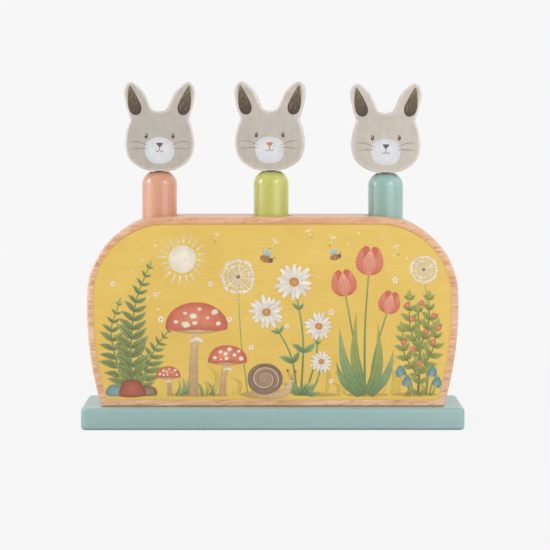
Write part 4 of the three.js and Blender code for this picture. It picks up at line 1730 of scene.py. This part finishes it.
def make_sky():
    """A cream sun with rays, dandelion clocks, drifting seeds, bees and small blossoms."""
    art = Print(on_panel)
    sun = (-51, 96)
    ray = straight_flake("sun_ray", 0.66, 0.075, cream, cream_deep, "ray")
    run_rings(art, [(*sun, 14.0, 5)], ray, 20, 6, 31, 0.04, 0.08)
    drop(ray)
    art.oval(sun, (7.8, 7.8), cream, cream, 8, wobble=0.05, seed=2, steps=40)
    clocks = [(-19.5, 86, 10.0, 0), (85, 90, 8.0, 10)]
    stems = [[(-14, soil), (-18, 52), (-19.5, 86)], [(86.5, soil), (87.5, 60), (85, 90)]]
    for path in stems:
        art.blade(path, 0.8, olive, sage_pale, 4, "stem", 20)
    seed = loose_flake("clock_seed", draw_clock_seed)
    run_rings(art, clocks, seed, 26, 10, 12, 0.05, 0.06)
    inner = [(u, v, size * 0.68, spin + 6) for u, v, size, spin in clocks]
    run_rings(art, inner, seed, 18, 17, 13, 0.06, 0.06)
    drop(seed)
    for u, v, size, spin in clocks:
        art.oval((u, v), (size * 0.12, size * 0.12), umber_pale, umber, 22, steps=14)
    parachute = loose_flake("drifting_seed", draw_drifting_seed)
    drifting = [
        (33, 106, 5, 20), (21, 110, 4.4, -25), (0, 104, 4.8, 35), (70, 101, 4.6, -15), (-32, 108, 4.2, 10),
    ]
    run_rings(art, drifting, parachute, 1, 6, 3, 0.0, 0.0)
    drop(parachute)
    for u, v, lean, size in ((-4, 96, -18, 0.95), (35, 97, 14, 0.82)):
        draw_bee(art, (u, v), lean, size)
    blossom = straight_flake("small_petal", 0.1, 0.75, cream, white_petal, "petal", 8)
    places = [
        (-63, 62, 1.7, 0), (-24.5, 62, 1.6, 30), (33, 66, 1.7, 10), (-12, 46, 1.5, 20), (69, 84, 1.7, 0),
        (-35, 82, 1.6, 40), (-66, 76, 1.4, 15), (33, 27, 1.4, 5), (8, 58, 1.4, 25), (-90, 82, 1.5, 0),
    ]
    run_rings(art, places, blossom, 5, 5, 2, 0.0, 0.05)
    drop(blossom)
    for u, v, size, spin in places:
        art.oval((u, v), (size * 0.3, size * 0.3), orange_eye, orange_deep, 8, steps=10)
    dot = dot_flake("cream_dot", cream, 10)
    patches = [
        [(-80, 88), (-68, 98), (-62, 110), (-72, 104)], [(-32, 66), (-14, 70), (-8, 78), (-28, 76)],
        [(26, 74), (35, 76), (34, 90), (25, 88)], [(40, 104), (62, 104), (62, 110), (40, 111)],
        [(72, 92), (78, 96), (74, 104), (66, 100)], [(-72, 60), (-62, 66), (-62, 84), (-70, 80)],
    ]
    for patch in patches:
        run_scatter(art, patch, dot, 7.5, (0.7, 1.2), 5, int(abs(patch[0][0])), 10, 0.004)
    drop(dot)
    art_object(art, "panel_sky")


def draw_clock_seed(single):
    """A seed of a dandelion clock that points up, with its tuft at one millimetre."""
    single.blade([(0, 0.1), (0, 0.86)], 0.022, cream_deep, cream, 1, "stem", 6)
    for lean in (-0.16, -0.08, 0.0, 0.08, 0.16):
        single.blade([(0, 0.8), (lean, 1.0 - abs(lean) * 0.3)], 0.024, cream, white_petal, 2, "stroke", 4)


def draw_drifting_seed(single):
    """A seed that hangs below its tuft."""
    single.blade([(0, -0.5), (0.03, 0.4)], 0.05, cream, cream, 1, "stroke", 6)
    single.oval((0, -0.55), (0.06, 0.16), umber_pale, umber, 2, steps=10)
    for lean in (-0.55, -0.3, 0.0, 0.3, 0.55):
        hair = [(0.03, 0.35), (lean, 0.8 - abs(lean) * 0.35)]
        single.blade(hair, 0.055, cream, white_petal, 2, "stroke", 5)


def draw_bee(art, centre, lean, size):
    """A bee that leans by degrees, its head on the right."""
    a = math.radians(lean)
    along, up = Vector((math.cos(a), math.sin(a))), Vector((-math.sin(a), math.cos(a)))

    def at(u, v):
        p = Vector(centre) + (along * u + up * v) * size
        return (p.x, p.y)

    wing = paint(196, 206, 198)
    art.blade([at(0, 1), at(-1.2, 3.6), at(-2.6, 5.6)], 2.9 * size, slate_pale, wing, 9, "petal", 12)
    art.blade([at(0.7, 1), at(1.2, 3.8), at(1.4, 6.0)], 2.6 * size, slate_pale, wing, 9, "petal", 12)
    art.oval(at(0, 0), (3.6 * size, 2.1 * size), orange_eye, orange_deep, 10, lean, steps=26)
    for k, h in ((-1.7, 1.55), (-0.3, 1.95), (1.1, 1.85)):
        art.blade([at(k, -h), at(k - 0.25, 0), at(k, h)], 0.8 * size, umber, dark_line, 11, "stroke", 8)
    art.oval(at(3.1, 0.1), (1.4 * size, 1.4 * size), umber, dark_line, 12, steps=16)
    for k in (0.5, 1.2):
        feeler = [at(3.6, 1.1), at(4.1 + k * 0.6, 2.2), at(4.6 + k * 0.8, 2.4 + k * 0.3)]
        art.blade(feeler, 0.22, dark_line, dark_line, 12, "stroke", 5)


# Faces of the heads

fur_pale = paint(200, 194, 183)
fur_deep = paint(184, 175, 163)
print_rim = paint(218, 206, 198)
ear_tip = paint(106, 92, 68)
ear_foot = paint(66, 48, 38)
ear_hair_dark = paint(80, 60, 46)
ear_hair_light = paint(160, 146, 112)
muzzle_core = paint(221, 222, 225)
muzzle_rim = paint(217, 218, 222)
face_line = paint(92, 80, 72)
eye_dark = paint(70, 60, 56)
glint = paint(236, 234, 230)
glint_rim = paint(220, 218, 214)
whisker = paint(134, 122, 100)

# Places on a head in millimetres, to the right of its middle and above its chin. What lies on both sides is
# given for the right one. Each ring of the print is given by its inset and how much of the rim's ink it has.
face_rings = ((0.72, 0.85), (1.05, 0.4), (1.5, 0.0))
ear_spine = ((12.5, 32.6), (14.7, 39.5), (16.9, 48.9))
ear_width = 7.2
ear_hairs = 26
ear_hair_foot = (12.7, 33.2)
ear_hair_run = (4.1, 15)
ear_hair_lengths = (1.2, 2.2)
eye_apart = 7.6
eye_radii = (0.92, 1.5)
glint_shift = (-0.2, 0.55)
glint_radii = (0.28, 0.34)
whisker_root = (6.4, 14.2)
whisker_tip = (16.6, 15.0)
muzzle_centre = (0, 12.4)
muzzle_radii = (8.4, 7.6)
nose_corners = [(-1.9, 16.5), (1.9, 16.5), (1.2, 15.3), (0, 14.3), (-1.2, 15.3)]
nose_centre = (0, 15.6)
lip_top = (0, 14.6)
lip_foot = (0, 12.7)


def face_outline(inset):
    """The head's outline drawn in. Where it would cross itself at an ear's tip, its points meet there."""
    outline = head_outline()
    normals = inward_normals(outline)
    drawn_in = [(u + n.x * inset, v + n.y * inset) for (u, v), n in zip(outline, normals)]
    for i in range(len(drawn_in)):
        for j in range(i + 2, min(i + 24, len(drawn_in) - 1)):
            ends = [Vector(drawn_in[k]) for k in (i, i + 1, j, j + 1)]
            crossing = intersect_line_line_2d(*ends)
            if crossing:
                drawn_in[i + 1:j + 1] = [tuple(crossing)] * (j - i)
    return drawn_in


def draw_fur(art, lightness, seed):
    """The print's mottled fur, with a pale rim."""
    rings = [face_outline(inset) for inset, fade in face_rings]
    inks = []
    for (inset, fade), ring in zip(face_rings, rings):
        for u, v in ring:
            tone = 0.5 + 0.5 * noise.noise(Vector((u * 0.08, v * 0.08, seed)))
            ink = [lightness * channel for channel in between(fur_deep, fur_pale, tone)]
            inks.append(between(ink, print_rim, fade))
    art.field(rings, inks, [0.0] * len(inks), 1)


def draw_ear(art, mirror):
    """A dark inner ear with dark and light hairs. Mirror is -1 on the left and 1 on the right."""
    spine = [(mirror * u, v) for u, v in ear_spine]
    art.blade(spine, ear_width, ear_foot, ear_tip, 3, "ear", 40)
    draws = random.Random(7 + mirror)
    for i in range(ear_hairs):
        t = 0.12 + 0.76 * i / ear_hairs
        reach = 0.42 * ear_width * blade_shapes["ear"](min(1.0, t + 0.1))
        u = mirror * (ear_hair_foot[0] + ear_hair_run[0] * t) + draws.uniform(-reach, reach)
        v = ear_hair_foot[1] + ear_hair_run[1] * t
        length = draws.uniform(*ear_hair_lengths)
        hair = [(u, v), (u + mirror * 0.2 * length, v + length)]
        if draws.random() > t + 0.15:
            first, last = ear_foot, ear_hair_dark
        else:
            first, last = ear_tip, ear_hair_light
        art.blade(hair, 0.3, first, last, 4, "stroke", 4)


def draw_eye(art, mirror, height):
    u = mirror * eye_apart
    art.oval((u, height), eye_radii, face_line, eye_dark, 5, mirror * 6, steps=20)
    spot = (u + glint_shift[0], height + glint_shift[1])
    art.oval(spot, glint_radii, glint, glint_rim, 6, steps=10)


def draw_whiskers(art, mirror):
    for rise, bend in ((1.6, 1.0), (-1.2, 0.3)):
        start = (mirror * whisker_root[0], whisker_root[1] + rise * 0.45)
        end = (mirror * whisker_tip[0], whisker_tip[1] + rise * 1.6)
        middle = ((start[0] + end[0]) / 2, (start[1] + end[1]) / 2 + bend)
        art.blade([start, middle, end], 0.36, whisker, whisker, 7, "stroke", 10)


def draw_muzzle(art, nose_ink, mouth):
    """The pale muzzle with its nose, and a mouth whose lowest points are at a height above the chin."""
    outline = oval_outline(muzzle_centre, muzzle_radii, 0, 0.03, 3, 44, 2.25)
    art.patch(outline, muzzle_centre, muzzle_core, muzzle_rim, 5)
    outline = [(p.x, p.y) for p in catmull_rom(nose_corners, True, 5)]
    art.patch(outline, nose_centre, nose_ink, nose_ink, 7)
    art.blade([lip_top, lip_foot], 0.42, face_line, face_line, 7, "stroke", 6)
    for mirror in (-1, 1):
        curve = [lip_foot, (mirror * 1.1, mouth), (mirror * 2.3, mouth + 0.9)]
        art.blade(curve, 0.36, face_line, face_line, 8, "stroke", 10)


def make_face(side, place, shift, eye_height, nose_ink, mouth, lightness):
    """The printed face of one head: fur, dark inner ears, muzzle, eyes, nose, mouth and whiskers."""
    def on_face(u, v, lift):
        return place(u + shift, v, layer_depth(-head_thickness / 2, lift))

    art = Print(on_face)
    draw_fur(art, lightness, len(side))
    for mirror in (-1, 1):
        draw_ear(art, mirror)
        draw_eye(art, mirror, eye_height)
        draw_whiskers(art, mirror)
    draw_muzzle(art, nose_ink, mouth)
    made = art.finish(f"face_print_{side}", face_ink)
    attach(made, f"{side}_figure")


# Camera, floor and light


# The camera, as worked out from the photo: its place in metres, its turn to the right and its tilt down in
# degrees, and its focal length and the picture's width in pixels
camera_place = (-0.0049, -1.535, 0.1829)
camera_turn = 0.2347
camera_tilt = 3.6374
focal_pixels = 2685.2
picture_pixels = 550
sensor_width = 36


def make_camera():
    yaw, pitch = math.radians(camera_turn), math.radians(camera_tilt)
    forward = Vector((math.sin(yaw) * math.cos(pitch), math.cos(yaw) * math.cos(pitch), -math.sin(pitch)))
    data = bpy.data.cameras.new("camera")
    data.sensor_width = sensor_width
    data.lens = focal_pixels / picture_pixels * sensor_width
    data.clip_start, data.clip_end = 0.05, 60
    camera = bpy.data.objects.new("camera", data)
    camera.location = camera_place
    camera.rotation_euler = forward.to_track_quat("-Z", "Y").to_euler()
    bpy.context.collection.objects.link(camera)
    bpy.context.scene.camera = camera


def area_light(name, location, target, size, power):
    data = bpy.data.lights.new(name, "AREA")
    data.shape = "RECTANGLE"
    data.size, data.size_y = size
    data.energy = power
    light = bpy.data.objects.new(name, data)
    light.location = location
    light.rotation_euler = (Vector(target) - Vector(location)).to_track_quat("-Z", "Y").to_euler()
    bpy.context.collection.objects.link(light)


backdrop_white = paint(247, 247, 247)
world_light = 0.61
floor_grey = 0.6
floor_half = 20000
floor_level = -0.05
# The floor shows this share of its shadow near the object, fading out between two distances in metres
shadow_share = 0.03
shadow_distances = (0.15, 0.6)


def seen_directly(tree):
    """1 where the camera looks, straight or by way of a glossy or clear surface, and 0 elsewhere."""
    path = tree.nodes.new("ShaderNodeLightPath").outputs
    reflected = maths(tree, "MAXIMUM", path["Is Glossy Ray"], path["Is Transmission Ray"])
    return maths(tree, "MAXIMUM", path["Is Camera Ray"], reflected)


def make_world():
    """An even light all round, which the camera sees as the backdrop's white."""
    world = bpy.data.worlds.new("studio")
    bpy.context.scene.world = world
    world.use_nodes = True
    tree = world.node_tree
    background = tree.nodes["Background"]
    seen = seen_directly(tree)
    lit = (world_light, world_light, world_light, 1)
    plug(tree, background.inputs["Color"], blend_colours(tree, seen, lit, backdrop_white))


def make_floor():
    """A pale floor that shows the camera the backdrop's colour and keeps a share of the object's shadow."""
    corners = [(x, y, floor_level) for x, y in rectangle(floor_half, floor_half)]
    floor = make_object("floor", corners, [[0, 1, 2, 3]], None)
    material = bpy.data.materials.new("pale_floor")
    material.use_nodes = True
    tree = material.node_tree
    tree.nodes.remove(tree.nodes["Principled BSDF"])
    end = tree.nodes["Material Output"]
    place = tree.nodes.new("ShaderNodeTexCoord").outputs["Object"]
    distance = add(tree, "ShaderNodeVectorMath", {0: place}, operation="LENGTH").outputs["Value"]
    share = spread(tree, distance, *shadow_distances, shadow_share, 0.0)
    real = add(tree, "ShaderNodeBsdfDiffuse", {"Color": (floor_grey, floor_grey, floor_grey, 1)}).outputs[0]
    glow = add(tree, "ShaderNodeEmission", {"Color": backdrop_white, "Strength": 1.0}).outputs[0]
    shown = add(tree, "ShaderNodeMixShader", {0: share, 1: glow, 2: real}).outputs[0]
    seen = seen_directly(tree)
    whole = add(tree, "ShaderNodeMixShader", {0: seen, 1: real, 2: shown}).outputs[0]
    tree.links.new(whole, end.inputs["Surface"])
    floor.data.materials.append(material)


# Each light's place and size in metres, and its power in watts. All aim at the middle of the toy.
light_aim = (0, 0, 0.1)
lights = {
    "right_softbox": ((0.62, -0.88, 0.3), (0.85, 0.8), 2.65),
    "near_right_softbox": ((0.42, -0.6, 0.26), (0.6, 0.5), 0.45),
    "high_right_softbox": ((0.3, -0.4, 0.37), (0.18, 0.18), 0.42),
    "front_left_softbox": ((-0.6, -0.4, 0.15), (0.4, 0.4), 0.3),
    "left_softbox": ((-0.9, -0.1, 0.5), (1.0, 1.1), 0.85),
    "high_left_softbox": ((-0.58, -0.1, 0.36), (0.2, 0.2), 0.95),
    "near_left_softbox": ((-0.25, -0.05, 0.12), (0.12, 0.15), 0.065),
    "near_left_rear_softbox": ((-0.22, 0.08, 0.11), (0.14, 0.12), 0.004),
    "right_side_softbox": ((0.85, -0.05, 0.55), (0.9, 0.9), 1.4),
}


def make_lights():
    for name, (location, size, power) in lights.items():
        area_light(name, location, light_aim, size, power)


# Making everything

make_camera()
make_world()
make_floor()
make_lights()
make_board()
make_block()
make_panel_ground()
make_ground_tufts()
make_ferns()
make_toadstools()
make_snail()
make_daisies()
make_tulips()
make_bush()
make_sky()
make_block_screws()
make_spring_screws()

peg_looks = {
    "left": (salmon_lacquer, "salmon_lacquer"),
    "middle": (green_lacquer, "green_lacquer"),
    "right": (blue_lacquer, "blue_lacquer"),
}
# Each face's shift to the right, height of its eyes, ink of its nose, height of its mouth and how light its
# fur is
face_looks = {
    "left": (-0.25, 20.6, paint(96, 84, 78), 11.6, 0.93),
    "middle": (0.25, 20.9, paint(206, 128, 92), 11.9, 0.98),
    "right": (-0.2, 20.4, paint(96, 84, 78), 11.3, 1.06),
}
for side, x, offset, rise, turn, drift, travel in figures:
    place = head_placer(x, offset, rise, turn, drift)
    make_peg(side, x, offset, rise, *peg_looks[side])
    make_head(side, place, x, offset, rise)
    make_face(side, place, *face_looks[side])
    make_spring(side, x, travel)
    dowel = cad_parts[f"neck_dowel_{side}"]
    dowel.data.materials.clear()
    dowel.data.materials.append(raw_wood)

scene = bpy.context.scene
scene.view_settings.view_transform = "Standard"
